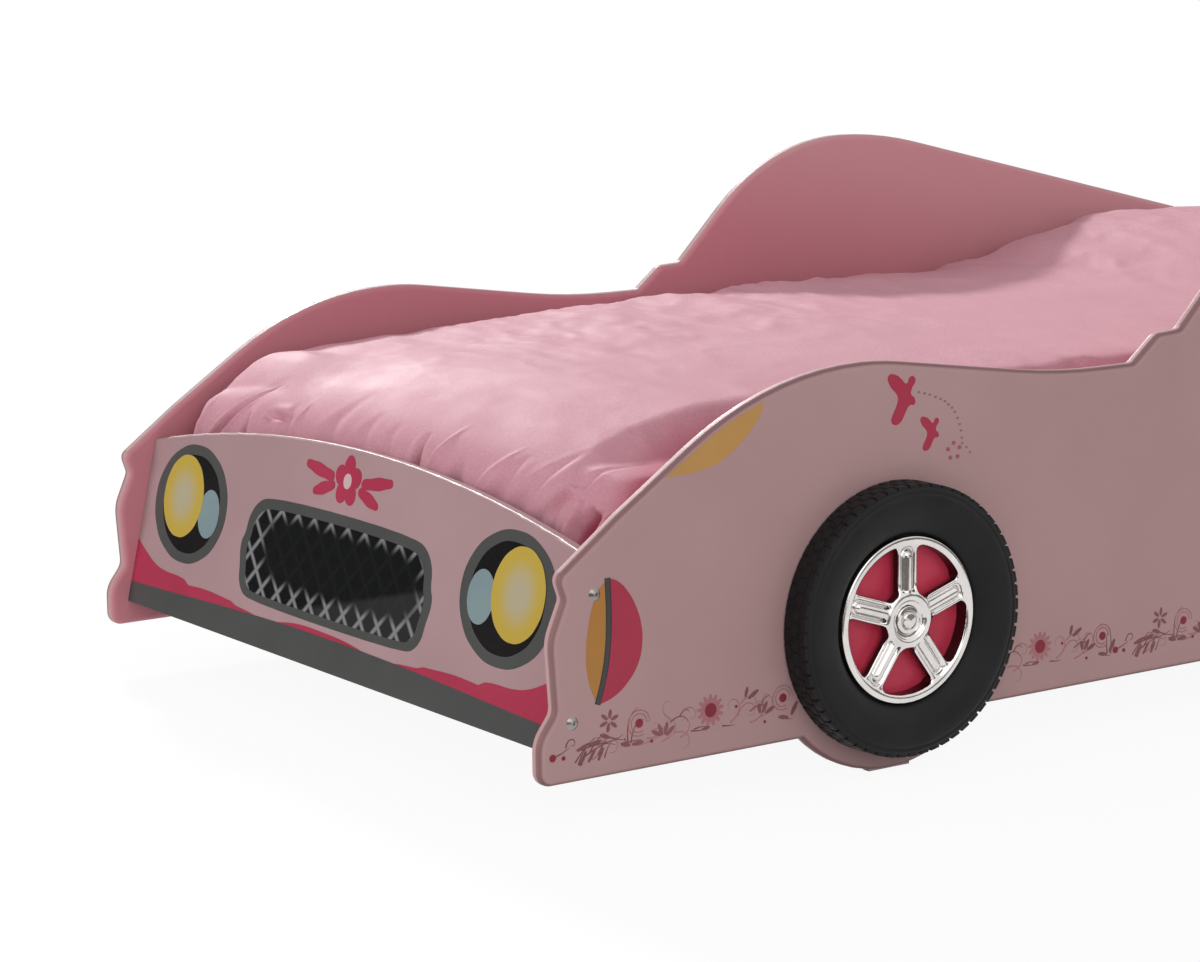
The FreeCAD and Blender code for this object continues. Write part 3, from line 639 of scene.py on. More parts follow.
inkValues = {
    "darkGrey": ((0.064, 0.067, 0.065), (0.076, 0.078, 0.076)),
    "black": ((0.006, 0.006, 0.007), (0.014, 0.012, 0.013), 0.2, 0.12),
    "crimson": ((0.385, 0.028, 0.068), (0.43, 0.038, 0.086)),
    "lampRed": ((0.43, 0.040, 0.078), (0.48, 0.050, 0.096)),
    "amber": ((0.46, 0.215, 0.050), (0.51, 0.245, 0.066)),
    "ochre": ((0.54, 0.29, 0.090), (0.60, 0.345, 0.12)),
    "trail": ((0.28, 0.160, 0.160), (0.35, 0.200, 0.195)),
    "spark": ((0.37, 0.105, 0.137), (0.42, 0.130, 0.165)),
    "tendril": ((0.21, 0.078, 0.088), (0.30, 0.120, 0.130)),
    "blossom": ((0.42, 0.165, 0.187), (0.49, 0.230, 0.248)),
    "blossomHeart": ((0.24, 0.024, 0.043), (0.31, 0.038, 0.062)),
    "petalHeart": ((0.58, 0.40, 0.41), (0.63, 0.45, 0.46)),
    "seaBlue": ((0.185, 0.265, 0.290), (0.235, 0.315, 0.325)),
}
sideLacquer = makeLacquer("sideLacquer", lacquerValues["side"])
frontLacquer = makeLacquer("frontLacquer", lacquerValues["front"])
inks = {name: makeInk("ink" + name[0].upper() + name[1:], *values) for name, values in inkValues.items()}
inks["lens"] = makeLens()
inks["grille"] = makeGrille()
chrome = makeChrome("chromedPlastic", (0.80, 0.77, 0.75), 0.10)
# a dark copy of the chrome for the walls of the rim's openings: painted shade
paintedShadeChrome = makeChrome("paintedShadeChrome", (0.085, 0.060, 0.062), 0.16)
boltSteel = makeChrome("boltSteel", (0.36, 0.32, 0.31), 0.24)
zincSteel = makeChrome("zincSteel", (0.62, 0.62, 0.60), 0.32)
rubber = makePlain("tyreRubber", (0.009, 0.009, 0.010), (0.018, 0.017, 0.017), 0.55, 26.0, 700.0, 0.25,
                   specular=0.2)
crimsonPlastic = makePlain("crimsonPlastic", (0.60, 0.040, 0.085), (0.72, 0.060, 0.115), 0.34, 18.0, 500.0, 0.05,
                           specular=0.3)
felt = makePlain("feltPad", (0.46, 0.40, 0.39), (0.56, 0.49, 0.48), 0.9, 120.0, 1500.0, 0.7)
pine = makeWood("pineRail", (0.56, 0.36, 0.19), (0.74, 0.54, 0.33), (26.0, 1.4, 26.0), 1.6, 0.5)
birch = makeWood("birchSlat", (0.62, 0.45, 0.28), (0.76, 0.60, 0.42), (1.2, 22.0, 26.0), 1.4, 0.42)
beech = makeWood("beechDowel", (0.52, 0.33, 0.19), (0.64, 0.44, 0.28), (6.0, 60.0, 60.0), 1.5, 0.5)
webbing = makeCloth("slatWebbing", (0.55, 0.53, 0.50), (0.66, 0.64, 0.60), 0.75, 2600.0, 0.1, (1, 1, 1), 0.5)
ticking = makeCloth("mattressTicking", (0.74, 0.73, 0.72), (0.82, 0.81, 0.80), 0.75, 3000.0, 0.15, (1, 1, 1), 0.35)
pillowCotton = makeCloth("pillowCotton", (0.72, 0.46, 0.51), (0.76, 0.51, 0.56), 0.6, 4200.0, 0.08, (1, 0.9, 0.92),
                         0.25)
# the fold colour is painted shade in the gathers, at the near front corner and along the near side
duvetSatin = makeCloth("duvetSatin", (0.615, 0.304, 0.362), (0.670, 0.348, 0.406), 0.60, 5200.0, 0.04,
                       (1, 0.88, 0.90), 0.12, specular=0.07, fold=(0.38, 0.038, 0.088))
print("materials ready")


# ---- CAD nodes that keep their shape get their finish

nodeFinishes = {
    "side_panel": sideLacquer,
    "front_panel": frontLacquer,
    "rear_panel": frontLacquer,
    "rail_": pine,
    "slat_tape": webbing,
    "slat_screws": zincSteel,
    "slat_": birch,
    "tyre": rubber,
    "rim": chrome,
    "hub_cap": chrome,
    "wheel_backing": crimsonPlastic,
    "connector_bolts": boltSteel,
    "barrel_nuts": zincSteel,
    "panel_dowels": beech,
    "rail_screws": zincSteel,
    "wheel_screws": zincSteel,
    "floor_glides": felt,
    "mattress": ticking,
    "pillow": pillowCotton,
    "duvet": duvetSatin,
}
for name, obj in nodes.items():
    word = max((start for start in nodeFinishes if name.startswith(start)), key=len)
    obj.data.materials.clear()
    obj.data.materials.append(nodeFinishes[word])
print("CAD nodes dressed")


# ---- flat printed shapes, laid on the front board or on a side board

boardValues = {
    "sideFace": 0.489,          # outer face of the side boards, from the middle
    "halfLength": 1.0525,
    "frontFoot": 0.0225,        # station of the front board's lower edge
    "frontSill": 0.080,
    "frontRake": math.radians(12.84),
    "frontThickness": 0.018,
    "inkLayer": 0.00030,
    "inkSunk": 0.00010,
    "strokeThickness": 0.6,
    "strokeSunk": 0.00020,
    "heartLayer": 2.2,
    "stagger": (0.14, 5),       # step in height and number of steps of shapes that overlap
}


def frontFace(height):
    # y of the front board's outer face at a height
    rise = (height - boardValues["frontSill"]) * math.tan(boardValues["frontRake"])
    return boardValues["frontFoot"] - boardValues["halfLength"] + rise


def frontInside(height):
    return frontFace(height) + boardValues["frontThickness"] / math.cos(boardValues["frontRake"])


def planeOf(origin, across, upward, outward):
    return Matrix.Translation(origin) @ Matrix((across, upward, outward)).transposed().to_4x4()


def frontPlane():
    # flat shapes are drawn as (distance from the middle, distance up the slope)
    rake = boardValues["frontRake"]
    across = Vector((1, 0, 0))
    upSlope = Vector((0, math.sin(rake), math.cos(rake)))
    return planeOf((0, frontFace(0), 0), across, upSlope, across.cross(upSlope))


def sidePlane(side):
    # flat shapes are drawn as (station, height), and the far side is the near side's mirror image
    origin = (side * boardValues["sideFace"], -boardValues["halfLength"], 0)
    return planeOf(origin, (0, 1, 0), (0, 0, 1), (side, 0, 0))


def curvePiece(splines, closed, **settings):
    # splines hold (u, v) points in mm, a third value "sharp" keeps a corner and a number is a thickness
    data = bpy.data.curves.new("drawn", "CURVE")
    data.dimensions = "2D" if closed else "3D"
    data.resolution_u = 7
    for key, value in settings.items():
        setattr(data, key, value)
    for points in splines:
        spline = data.splines.new("BEZIER")
        spline.bezier_points.add(len(points) - 1)
        spline.use_cyclic_u = closed
        for knot, point in zip(spline.bezier_points, points):
            knot.co = (point[0] * mm, point[1] * mm, 0)
            kind = "VECTOR" if point[2:] == ("sharp",) else "AUTO"
            knot.handle_left_type = kind
            knot.handle_right_type = kind
            if len(point) > 2 and kind == "AUTO":
                knot.radius = point[2]
    return meshOf("drawn", data)


def filledShape(outline, layer=1):
    thick = boardValues["inkLayer"] + boardValues["inkSunk"]
    piece = curvePiece([outline], True, fill_mode="BOTH", extrude=thick / 2)
    piece.data.transform(Matrix.Translation((0, 0, layer * boardValues["inkLayer"] - thick / 2)))
    return piece


def drawnLines(splines, width, layer=1):
    # strokes with a round section pressed flat
    piece = curvePiece(splines, False, bevel_depth=width / 2 * mm, bevel_resolution=1, use_fill_caps=True)
    flat = Matrix.Diagonal((1, 1, boardValues["strokeThickness"] / width, 1))
    height = layer * boardValues["inkLayer"] - boardValues["strokeSunk"]
    piece.data.transform(Matrix.Translation((0, 0, height)) @ flat)
    return piece


def layOn(piece, plane, name, ink, slot="side_lacquer", lift=0.0):
    piece.name = name
    piece.data.transform(plane @ Matrix.Translation((0, lift * mm, 0)))
    if plane.determinant() < 0:
        piece.data.flip_normals()
    mergeDoubles(piece)
    facesOut(piece)
    finishPiece(piece, "bed_frame", slot, inks[ink])


def onSlope(points):
    # heights on the front board are stretched along its slope
    stretch = 1 / math.cos(boardValues["frontRake"])
    return [(point[0], point[1] * stretch) + tuple(point[2:]) for point in points]


def polar(u, v, reach, degrees):
    turn = math.radians(degrees)
    return u + reach * math.cos(turn), v + reach * math.sin(turn)


def oval(u, v, halfWidth, halfHeight, count=12):
    turns = [2 * math.pi * i / count for i in range(count)]
    return [(u + halfWidth * math.cos(t), v + halfHeight * math.sin(t)) for t in turns]


def roundedBox(left, low, right, high, lowRadius, highRadius, bulge):
    # corners as quarter rings of points, sides a little bulged
    outline = []
    corners = ((right, high, highRadius, 0), (left, high, highRadius, 90),
               (left, low, lowRadius, 180), (right, low, lowRadius, 270))
    for u, v, radius, start in corners:
        middleU = u - radius if u > left else u + radius
        middleV = v - radius if v > low else v + radius
        outline += [polar(middleU, middleV, radius, start + step) for step in (0, 30, 60, 90)]
        if start in (90, 270):
            outline.append((left - bulge if start == 90 else right + bulge, 0.48 * low + 0.52 * high))
    return outline


faceValues = {
    # ovals of a headlamp: middle, half width, half height, then the layer and ink
    "lamps": {
        "headlampRing": ((352, 215.5, 90, 70), 1, "darkGrey"),
        "headlampWell": ((350, 215.5, 70, 58), 2, "black"),
        "headlampBulb": ((303, 210, 25, 28.5), 3, "seaBlue"),
        "headlampGlass": ((371, 222.5, 49, 49), 4, "lens"),
    },
    "grilleOuter": (-209, 131, 206, 247.5, 32, 46, 5),
    "grilleInner": (-194, 139.5, 191, 236, 24, 37, 4),
    "stripLow": 80.5,
    "stripHigh": (116.5, 105),
    "halfWidth": 469.3,
    "redLow": 86.5,
    "sweep": [(132, 110, "sharp"), (160, 115), (203, 118, "sharp"), (217, 121.5, "sharp"), (283, 124),
              (325, 122.5, "sharp"), (337, 127.5, "sharp"), (352, 129), (388, 130), (414, 134), (441, 144),
              (469.3, 157, "sharp")],
    "sliver": [(-108, 115, "sharp"), (-60, 121), (0, 121.5), (60, 119), (102, 114, "sharp")],
    "blossomMiddle": (0, 289),
    "blossomPetal": (5, 24, 21),    # start from the middle, reach, width
    # leaves beside the blossom: how far they point up in degrees, reach, start from the middle
    "blossomLeaves": ((8, 66, 30), (-16, 48, 26)),
    "leafWidth": 13,
    "heartRadius": 8.5,
}


def makeFrontPrints():
    place = frontPlane()
    values = faceValues

    def printed(name, outline, layer, ink):
        layOn(filledShape(onSlope(outline), layer), place, name, ink, "front_lacquer")

    half = values["halfWidth"]
    low = values["stripLow"]
    high, side = values["stripHigh"]
    redLow = values["redLow"]
    for hand, word in ((1, "Left"), (-1, "Right")):
        for name, ((u, v, wide, tall), layer, ink) in values["lamps"].items():
            printed(name + word, oval(hand * u, v, wide, tall), layer, ink)
        outline = [(132, redLow, "sharp")] + values["sweep"] + [(half, redLow, "sharp")]
        printed("redSweep" + word, [(hand * point[0],) + point[1:] for point in outline], 1, "crimson")
    sliver = [(-112, redLow, "sharp")] + values["sliver"] + [(106, redLow, "sharp")]
    printed("redSweepMiddle", sliver, 1, "crimson")
    strip = [(-half, low, "sharp"), (half, low, "sharp"), (half, side, "sharp"), (0, high), (-half, side, "sharp")]
    printed("bumperStrip", strip, 2, "darkGrey")
    printed("grilleFrame", roundedBox(*values["grilleOuter"]), 1, "darkGrey")
    printed("grilleMesh", roundedBox(*values["grilleInner"]), 2, "grille")
    makeBonnetBlossom(place)


def petal(u, v, turn, reach, width):
    # one rounded leaf or petal that starts at (u, v) and points along turn, in degrees
    ahead = Vector(polar(0, 0, 1, turn))
    aside = Vector((-ahead.y, ahead.x))
    steps = ((0.0, 0.0), (0.35, 0.5), (0.75, 0.46), (1.0, 0.0), (0.75, -0.46), (0.35, -0.5))
    return [tuple(Vector((u, v)) + ahead * (reach * forward) + aside * (width * out)) for forward, out in steps]


def staggered(outlines):
    # shapes that overlap lie a little above each other
    step, levels = boardValues["stagger"]
    return [filledShape(outline, 1 + step * (index % levels)) for index, outline in enumerate(outlines)]


def makeBonnetBlossom(plane):
    # a plain five-petal blossom with two leaves each side, in the middle above the grille
    u, v = faceValues["blossomMiddle"]
    out, reach, width = faceValues["blossomPetal"]
    petals = [petal(*polar(u, v, out, turn), turn, reach, width) for turn in range(90, 450, 72)]
    for hand in (1, -1):
        for rise, reach, start in faceValues["blossomLeaves"]:
            turn = rise if hand > 0 else 180 - rise
            petals.append(petal(hand * start, v - 2 + rise * 0.3, turn, reach, faceValues["leafWidth"]))
    blossom = joinPieces(staggered([onSlope(outline) for outline in petals]), "bonnetBlossom")
    layOn(blossom, plane, "bonnetBlossom", "crimson", "front_lacquer")
    radius = faceValues["heartRadius"]
    heart = filledShape(onSlope(oval(u, v, radius, radius)), boardValues["heartLayer"])
    layOn(heart, plane, "bonnetBlossomHeart", "petalHeart", "front_lacquer")


sideValues = {
    "leafFront": [(85, 256, "sharp"), (97, 251), (109, 239), (119, 222), (125, 203), (126, 185), (121, 164),
                  (109, 147), (92, 134), (71, 127, "sharp")],
    "leafBack": [(70, 128, "sharp"), (60, 152), (57, 182), (60, 207), (67, 233), (77, 249), (83, 254, "sharp"),
                 (82, 253, "sharp")],
    "strip": [(84, 256), (85, 216), (83, 181), (78, 154), (70, 128)],
    "stripWidth": 7.0,
    "hoodLamp": [(157, 350.5, "sharp"), (189, 369.7), (220, 388.6), (250, 403.4), (282, 415.6, "sharp"),
                 (277, 402), (263, 386), (246, 371), (228, 360), (209, 354), (188, 351)],
    # butterflies seen from the side: station, height, size
    "butterflies": ((468, 402, 1.0), (506, 361, 0.68)),
    "wings": [(-21, 25), (-10, 25), (-3, 20), (4, 15), (8, 21), (13, 22), (16, 17), (11, 9), (10, 3), (15, -2),
              (15, -8), (8, -9), (3, -15), (-1, -22), (-6, -27), (-13, -28), (-17, -24), (-15, -17), (-10, -8),
              (-8, 0), (-11, 6), (-18, 13)],
    "trail": [(489, 406), (497, 404), (504, 402), (512, 399), (519, 396), (525, 393), (530, 389), (535, 385),
              (539, 380), (543, 373), (546, 366), (548, 359), (549, 351), (550, 345), (556, 340), (561, 334)],
    "spark": (538, 338, 8.5),
    # dots: half width, half height, number of points
    "trailDot": (1.9, 1.3, 6),
    "sparkDot": (2.7, 2.3, 8),
    # runs of the flower border: end of the name, shift, lift, first and last station
    "borders": (("Front{}", 0, 0.0, 12, 318), ("{}1", 454, 4.0, 606, 1500), ("{}2", 764, 4.0, 606, 1500),
                ("{}3", 1074, 4.0, 606, 1500)),
}
borderValues = {
    # dark tendrils: station, height, heading, reach, curl
    "tendrils": ((31, 89, 75, 24, -330), (15, 81, 15, 22, 20), (42, 72, 50, 34, -25), (46, 69, 70, 24, -60),
                 (52, 76, 25, 46, -30), (48, 84, 10, 44, -35), (60, 80, 55, 26, -40), (70, 76, 60, 22, -30),
                 (78, 72, 70, 18, -30), (66, 88, -5, 36, 40), (107, 82, 95, 40, -75), (111, 82, 84, 30, -95),
                 (84, 92, -20, 20, 10), (98, 83, 4, 26, -10), (103, 88, -75, 8, 0), (186, 83, -10, 18, 20),
                 (190, 84, 12, 14, -30), (160, 96, 30, 26, -120), (172, 100, 60, 16, -150), (226, 82, -8, 16, 15),
                 (262, 92, 30, 22, -60), (318, 78, 86, 30, 30), (313, 79, 100, 26, -40), (300, 80, -20, 18, 20),
                 (276, 96, 60, 16, -70)),
    # pale loops, the same way
    "loops": ((62, 72, 20, 40, 250), (70, 84, 40, 44, -280), (118, 78, 4, 40, 50), (130, 84, -10, 34, 260),
              (136, 90, 20, 36, -250), (150, 78, 10, 44, 300), (164, 84, 5, 40, -240), (172, 78, 20, 34, 240),
              (160, 100, 150, 30, -220), (176, 106, 20, 30, -260), (236, 84, 30, 46, 300), (246, 90, 60, 44, -320),
              (262, 80, 10, 44, 280), (250, 102, 40, 34, -240), (276, 84, 20, 40, 230), (288, 88, 160, 30, -230)),
    # narrow leaves: station, height, heading, reach, width
    "leaves": ((148, 84, 150, 13, 4), (150, 84, 112, 13, 4), (153, 84, 76, 13, 4), (155, 83, 42, 13, 4),
               (48, 68, 62, 16, 3), (58, 70, 55, 16, 3), (70, 70, 62, 14, 3), (44, 84, 20, 16, 3), (58, 88, 8, 16, 3),
               (84, 92, 160, 12, 4), (110, 80, 170, 12, 4), (112, 80, 5, 14, 4), (200, 82, 10, 10, 3.5),
               (260, 106, 30, 15, 4), (256, 108, 75, 11, 3.5), (278, 88, 60, 13, 4), (282, 87, 25, 13, 4),
               (275, 88, 100, 11, 4), (316, 80, 60, 16, 4.5), (312, 78, 170, 13, 4)),
    # blossoms: station, height, reach, petal count
    "bigBlossoms": ((211, 101, 17, 13),),
    "blossoms": ((84, 109, 12, 6),),
    "eyes": ((121, 101, 13.5), (305, 100, 13)),
    "dots": ((15, 81, 3.8), (28, 79, 2.2), (136, 80, 1.8), (281, 78, 1.6), (244, 100, 1.6)),
    "lineWidth": 1.9,
    "loopWidth": 1.7,
    "petalWidth": (4.6, 3.6),
    "scroll": (0.72, 0.35, 1.5),    # how much thinner a tendril ends, how it winds at the root, how much more later
    "heartSize": (4.6, 7.4),
    "tendrilRoom": 12,          # a tendril starts at least this far before the end of the run
}


def scroll(u, v, heading, reach, curl, count=9):
    # a tendril that winds up tighter towards its end, thick at the root
    points = []
    turn = math.radians(heading)
    step = reach / (count - 1)
    thinner, first, more = borderValues["scroll"]
    for i in range(count):
        share = i / (count - 1)
        points.append((u, v, 1.0 - thinner * share))
        u += step * math.cos(turn)
        v += step * math.sin(turn)
        turn += math.radians(curl) * (first + more * share) / (count - 1)
    return points


def makeBorder(plane, name, shift, lift, first, last):
    # one run of the flower border, kept between two stations
    values = borderValues

    def kept(key, room=0):
        return [row for row in values[key] if first <= row[0] + shift and row[0] + shift + room <= last]

    def runs(key):
        return [scroll(u + shift, *rest) for u, *rest in kept(key, values["tendrilRoom"])]

    def printed(parts, word, ink):
        if parts:
            layOn(joinPieces(parts, name + word), plane, name + word, ink, lift=lift)

    tendrils = runs("tendrils")
    dark = [drawnLines(tendrils, values["lineWidth"])] if tendrils else []
    loops = runs("loops")
    for u, v, radius in kept("eyes"):
        for share in (1.0, 0.72):
            ring = oval(u + shift, v, share * radius, share * radius, 11)
            loops.append([(a, b, 0.7 + 0.3 * (i % 2)) for i, (a, b) in enumerate(ring)][:10])
    pale = [drawnLines(loops, values["loopWidth"], 0.8)] if loops else []
    wide, narrow = values["petalWidth"]
    fills = [petal(u + shift, *rest) for u, *rest in kept("leaves")]
    for u, v, reach, count in kept("blossoms"):
        for i in range(count):
            turn = 80 + 360 * i / count
            fills.append(petal(*polar(u + shift, v, 0.2 * reach, turn), turn, 0.8 * reach, narrow))
    dark += staggered(fills)
    for u, v, reach, count in kept("bigBlossoms"):
        pale += staggered([petal(u + shift, v, 90 + 360 * i / count, reach, wide) for i in range(count)])
    printed(pale, "", "blossom")
    printed(dark, "Stems", "tendril")
    layer = boardValues["heartLayer"]
    hearts = [(row[0], row[1], size) for key, size in zip(("eyes", "bigBlossoms"), values["heartSize"])
              for row in kept(key)] + kept("dots")
    dots = [filledShape(oval(u + shift, v, radius, radius, 8), layer) for u, v, radius in hearts]
    printed(dots, "Hearts", "blossomHeart")


def makeSidePrints(side, word):
    plane = sidePlane(side)
    values = sideValues

    def printed(name, ink, parts):
        layOn(joinPieces(parts, name), plane, name + word, ink)

    spine = [(u, v, "sharp") for u, v in values["strip"][1:-1]]
    printed("markerRed", "lampRed", [filledShape(values["leafFront"] + spine[::-1])])
    printed("markerAmber", "amber", [filledShape(values["leafBack"] + spine)])
    band = [(u, v, 1.0) for u, v in values["strip"]]
    printed("markerBand", "darkGrey", [drawnLines([band], values["stripWidth"], 2)])
    printed("hoodLamp", "ochre", [filledShape(values["hoodLamp"])])
    printed("butterflies", "lampRed", [filledShape([(u + size * a, v + size * b) for a, b in values["wings"]])
                                       for u, v, size in values["butterflies"]])
    printed("dottedTrail", "trail", [filledShape(oval(u, v, *values["trailDot"])) for u, v in values["trail"]])
    around = [polar(*values["spark"], turn) for turn in range(20, 380, 72)]
    printed("sparkFlower", "spark", [filledShape(oval(*place, *values["sparkDot"])) for place in around])
    for where, *run in values["borders"]:
        makeBorder(plane, "flowerBorder" + where.format(word), *run)


makeFrontPrints()
makeSidePrints(1, "Left")
makeSidePrints(-1, "Right")
print("prints drawn")


# ---- wheels

wheelValues = {
    "height": 0.168,
    "stations": {"front": -0.5995, "rear": 0.5995},
    "spinSteps": 168,
    "lugs": 60,
    "lugEdge": 0.7,
    # tyre section as (depth from the board, radius), in mm
    "section": [(19.0, 91.2), (23.0, 92.4), (26.6, 95.0), (29.4, 98.0), (31.8, 101.6), (34.2, 106.0), (36.4, 111.4),
                (38.1, 117.6), (39.2, 124.0), (39.6, 129.0), (39.3, 133.4), (38.6, 136.2), (37.6, 137.2),
                (37.3, 138.2), (37.9, 139.2), (37.8, 140.8), (36.8, 142.8), (34.9, 144.4), (32.0, 145.7),
                (28.0, 146.4), (14.0, 146.7), (1.2, 146.6), (0.0, 145.6), (0.0, 89.4), (19.0, 89.4)],
    # rubber blocks as (depth low, depth high, radius low, radius high, share of the pitch, twist)
    "blocks": ((26.0, 36.2, 141.6, 147.2, 0.78, 0.0), (14.0, 24.5, 145.6, 147.4, 0.80, 0.5),
               (1.5, 12.5, 145.6, 147.4, 0.80, 0.0)),
    "rimVoxel": 0.0010,
    "rimSmooth": 16,
    "rimKeep": 0.42,
    # where walls of the openings, and faces nearer the board than the depth, take the dark chrome, a painted shade:
    # nearest and furthest radius, steepness, depth
    "rimWalls": (29.5, 84.0, 0.42, 8.0),
}


def wheelPlace(side, end):
    place = Matrix.Translation((side * boardValues["sideFace"], wheelValues["stations"][end], wheelValues["height"]))
    return place @ Matrix.Diagonal((side, 1, 1, 1))


def makeRubberBlock(low, high, inner, outer, share):
    pitch = 2 * math.pi * outer / wheelValues["lugs"]
    deselectAll()
    bpy.ops.mesh.primitive_cube_add(size=mm, location=((low + high) / 2 * mm, 0, (inner + outer) / 2 * mm))
    block = bpy.context.object
    block.scale = (high - low, pitch * share, outer - inner)
    applyPlace(block)
    editMesh(block, lambda: bpy.ops.mesh.bevel(offset=wheelValues["lugEdge"] * mm, segments=2, affect="EDGES"))
    return block


def makeTyre():
    values = wheelValues
    ring = closedLine("tyre", [(depth * mm, 0, radius * mm) for depth, radius in values["section"]])
    around = {"steps": values["spinSteps"], "angle": 2 * math.pi, "center": (0, 0, 0), "axis": (1, 0, 0)}
    editMesh(ring, lambda: bpy.ops.mesh.spin(**around))
    mergeDoubles(ring, 0.00001)
    facesOut(ring)
    parts = [ring]
    for *shape, twist in values["blocks"]:
        block = makeRubberBlock(*shape)
        for i in range(values["lugs"]):
            turn = Matrix.Rotation(2 * math.pi * (i + twist) / values["lugs"], 4, "X")
            parts.append(copyPiece(block, "rubberBlock", turn))
        bpy.data.objects.remove(block)
    tyre = joinPieces(parts, "tyreMaster")
    smoothShade(tyre, 38)
    return tyre


def makeRim():
    # the turned and pierced wheel face, its edges softened as on chromed moulding
    rim = copyNode("rim_front_left", "rimMaster")
    rim.data.transform(wheelPlace(1, "front").inverted())
    remeshed(rim, wheelValues["rimVoxel"], wheelValues["rimSmooth"])
    rim.modifiers.new("fewer", "DECIMATE").ratio = wheelValues["rimKeep"]
    applyModifiers(rim)
    smoothShade(rim, 60)
    return rim


def isWall(polygon):
    near, far, steep, deep = wheelValues["rimWalls"]
    radius = math.hypot(polygon.center.y, polygon.center.z) / mm
    return near < radius < far and abs(polygon.normal.x) < steep or polygon.center.x / mm < deep


def placeWheels():
    tyre = makeTyre()
    rim = makeRim()
    print("tyre faces", len(tyre.data.polygons), "rim faces", len(rim.data.polygons))
    walls = [int(isWall(polygon)) for polygon in rim.data.polygons]
    for side, hand in ((1, "left"), (-1, "right")):
        for end in ("front", "rear"):
            where = end + "_" + hand
            word = end.capitalize() + hand.capitalize()
            place = wheelPlace(side, end)
            finishPiece(copyPiece(tyre, "tyre" + word, place), "bed_frame", "tyre", rubber, "tyre_" + where)
            face = copyPiece(rim, "rim" + word, place)
            finishPiece(face, "bed_frame", "chrome", chrome, "rim_" + where)
            # the walls take the dark chrome: painted shade
            face.data.materials.append(paintedShadeChrome)
            face.data.polygons.foreach_set("material_index", walls)
            face.data.update()
    bpy.data.objects.remove(tyre)
    bpy.data.objects.remove(rim)


placeWheels()
print("wheels made")


# ---- bedding

def noiseAt(x, y, seed):
    return noise.noise(Vector((x, y, seed)))


def pushed(piece, shift):
    # moves each point by what shift gives for its place and normal
    skin = piece.data.vertices
    normals = [vertex.normal.copy() for vertex in skin]
    for vertex, normal in zip(skin, normals):
        vertex.co += shift(vertex.co, normal)


def simulateCloth(piece, pinned, values):
    # lets the skin fill out and buckle, then keeps each point within the cap of where it began
    group = piece.vertex_groups.new(name="pinned")
    group.add(pinned, 1.0, "REPLACE")
    start = [vertex.co.copy() for vertex in piece.data.vertices]
    cloth = piece.modifiers.new("fill", "CLOTH")
    for key, value in (("quality", 5), ("mass", 0.25), ("air_damping", 3.0), ("tension_stiffness", 20.0),
                       ("compression_stiffness", 20.0), ("shear_stiffness", 8.0),
                       ("bending_stiffness", values["bending"]), ("use_pressure", True),
                       ("uniform_pressure_force", values["pressure"]), ("shrink_min", values["growth"]),
                       ("vertex_group_mass", "pinned")):
        setattr(cloth.settings, key, value)
    cloth.settings.effector_weights.gravity = 0.0
    scene = bpy.context.scene
    for frameNumber in range(1, values["frames"] + 1):
        scene.frame_set(frameNumber)
    settled = piece.evaluated_get(bpy.context.evaluated_depsgraph_get()).to_mesh()
    moved = [vertex.co.copy() for vertex in settled.vertices]
    piece.modifiers.remove(cloth)
    piece.vertex_groups.remove(group)
    scene.frame_set(1)
    for vertex, before, after in zip(piece.data.vertices, start, moved):
        step = after - before
        if step.length > values["cap"]:
            step = step.normalized() * values["cap"]
        if "calm" in values:
            step = step * ramp(before.y, *values["calm"])
        vertex.co = before + step


duvetValues = {
    "mattressTop": 0.3304,
    "sideRoom": 0.4680,         # how far bedding may reach sideways
    "voxel": 0.0115,
    "soften": 14,
    "pressure": 1.6,
    "growth": -0.030,
    "bending": 1.2,
    "cap": 0.016,
    "frames": 20,
    "calm": (-0.80, -0.30),     # it keeps its plain form in front of the first y and moves freely past the second
    "pinned": (-0.35, 0.012),   # faces down more than the first, or lies deeper than the second under the top
    "upward": -0.2,             # least z of the normal of the skin that takes form and folds
    "formRoom": (0.0008, 0.006, 0.001),     # room kept under the form: always, before it sinks, and least
    "foldRoom": 0.006,
    "tucked": (0.004, 0.030),   # no folds deeper than this under the top and further than this behind the board
    "base": 0.2504,             # height of its underside at the foot
    "climb": (112, 150),        # stations between which the underside goes up to the mattress
    "crown": 0.378,             # height from which the whole form is given
    "footLow": 0.262,
    "boardTop": 0.326,          # the front board as far up as the cover lies on it
    "boardFree": 0.345,         # height from which the cover is clear of it
    "boardRoom": 0.0015,
}
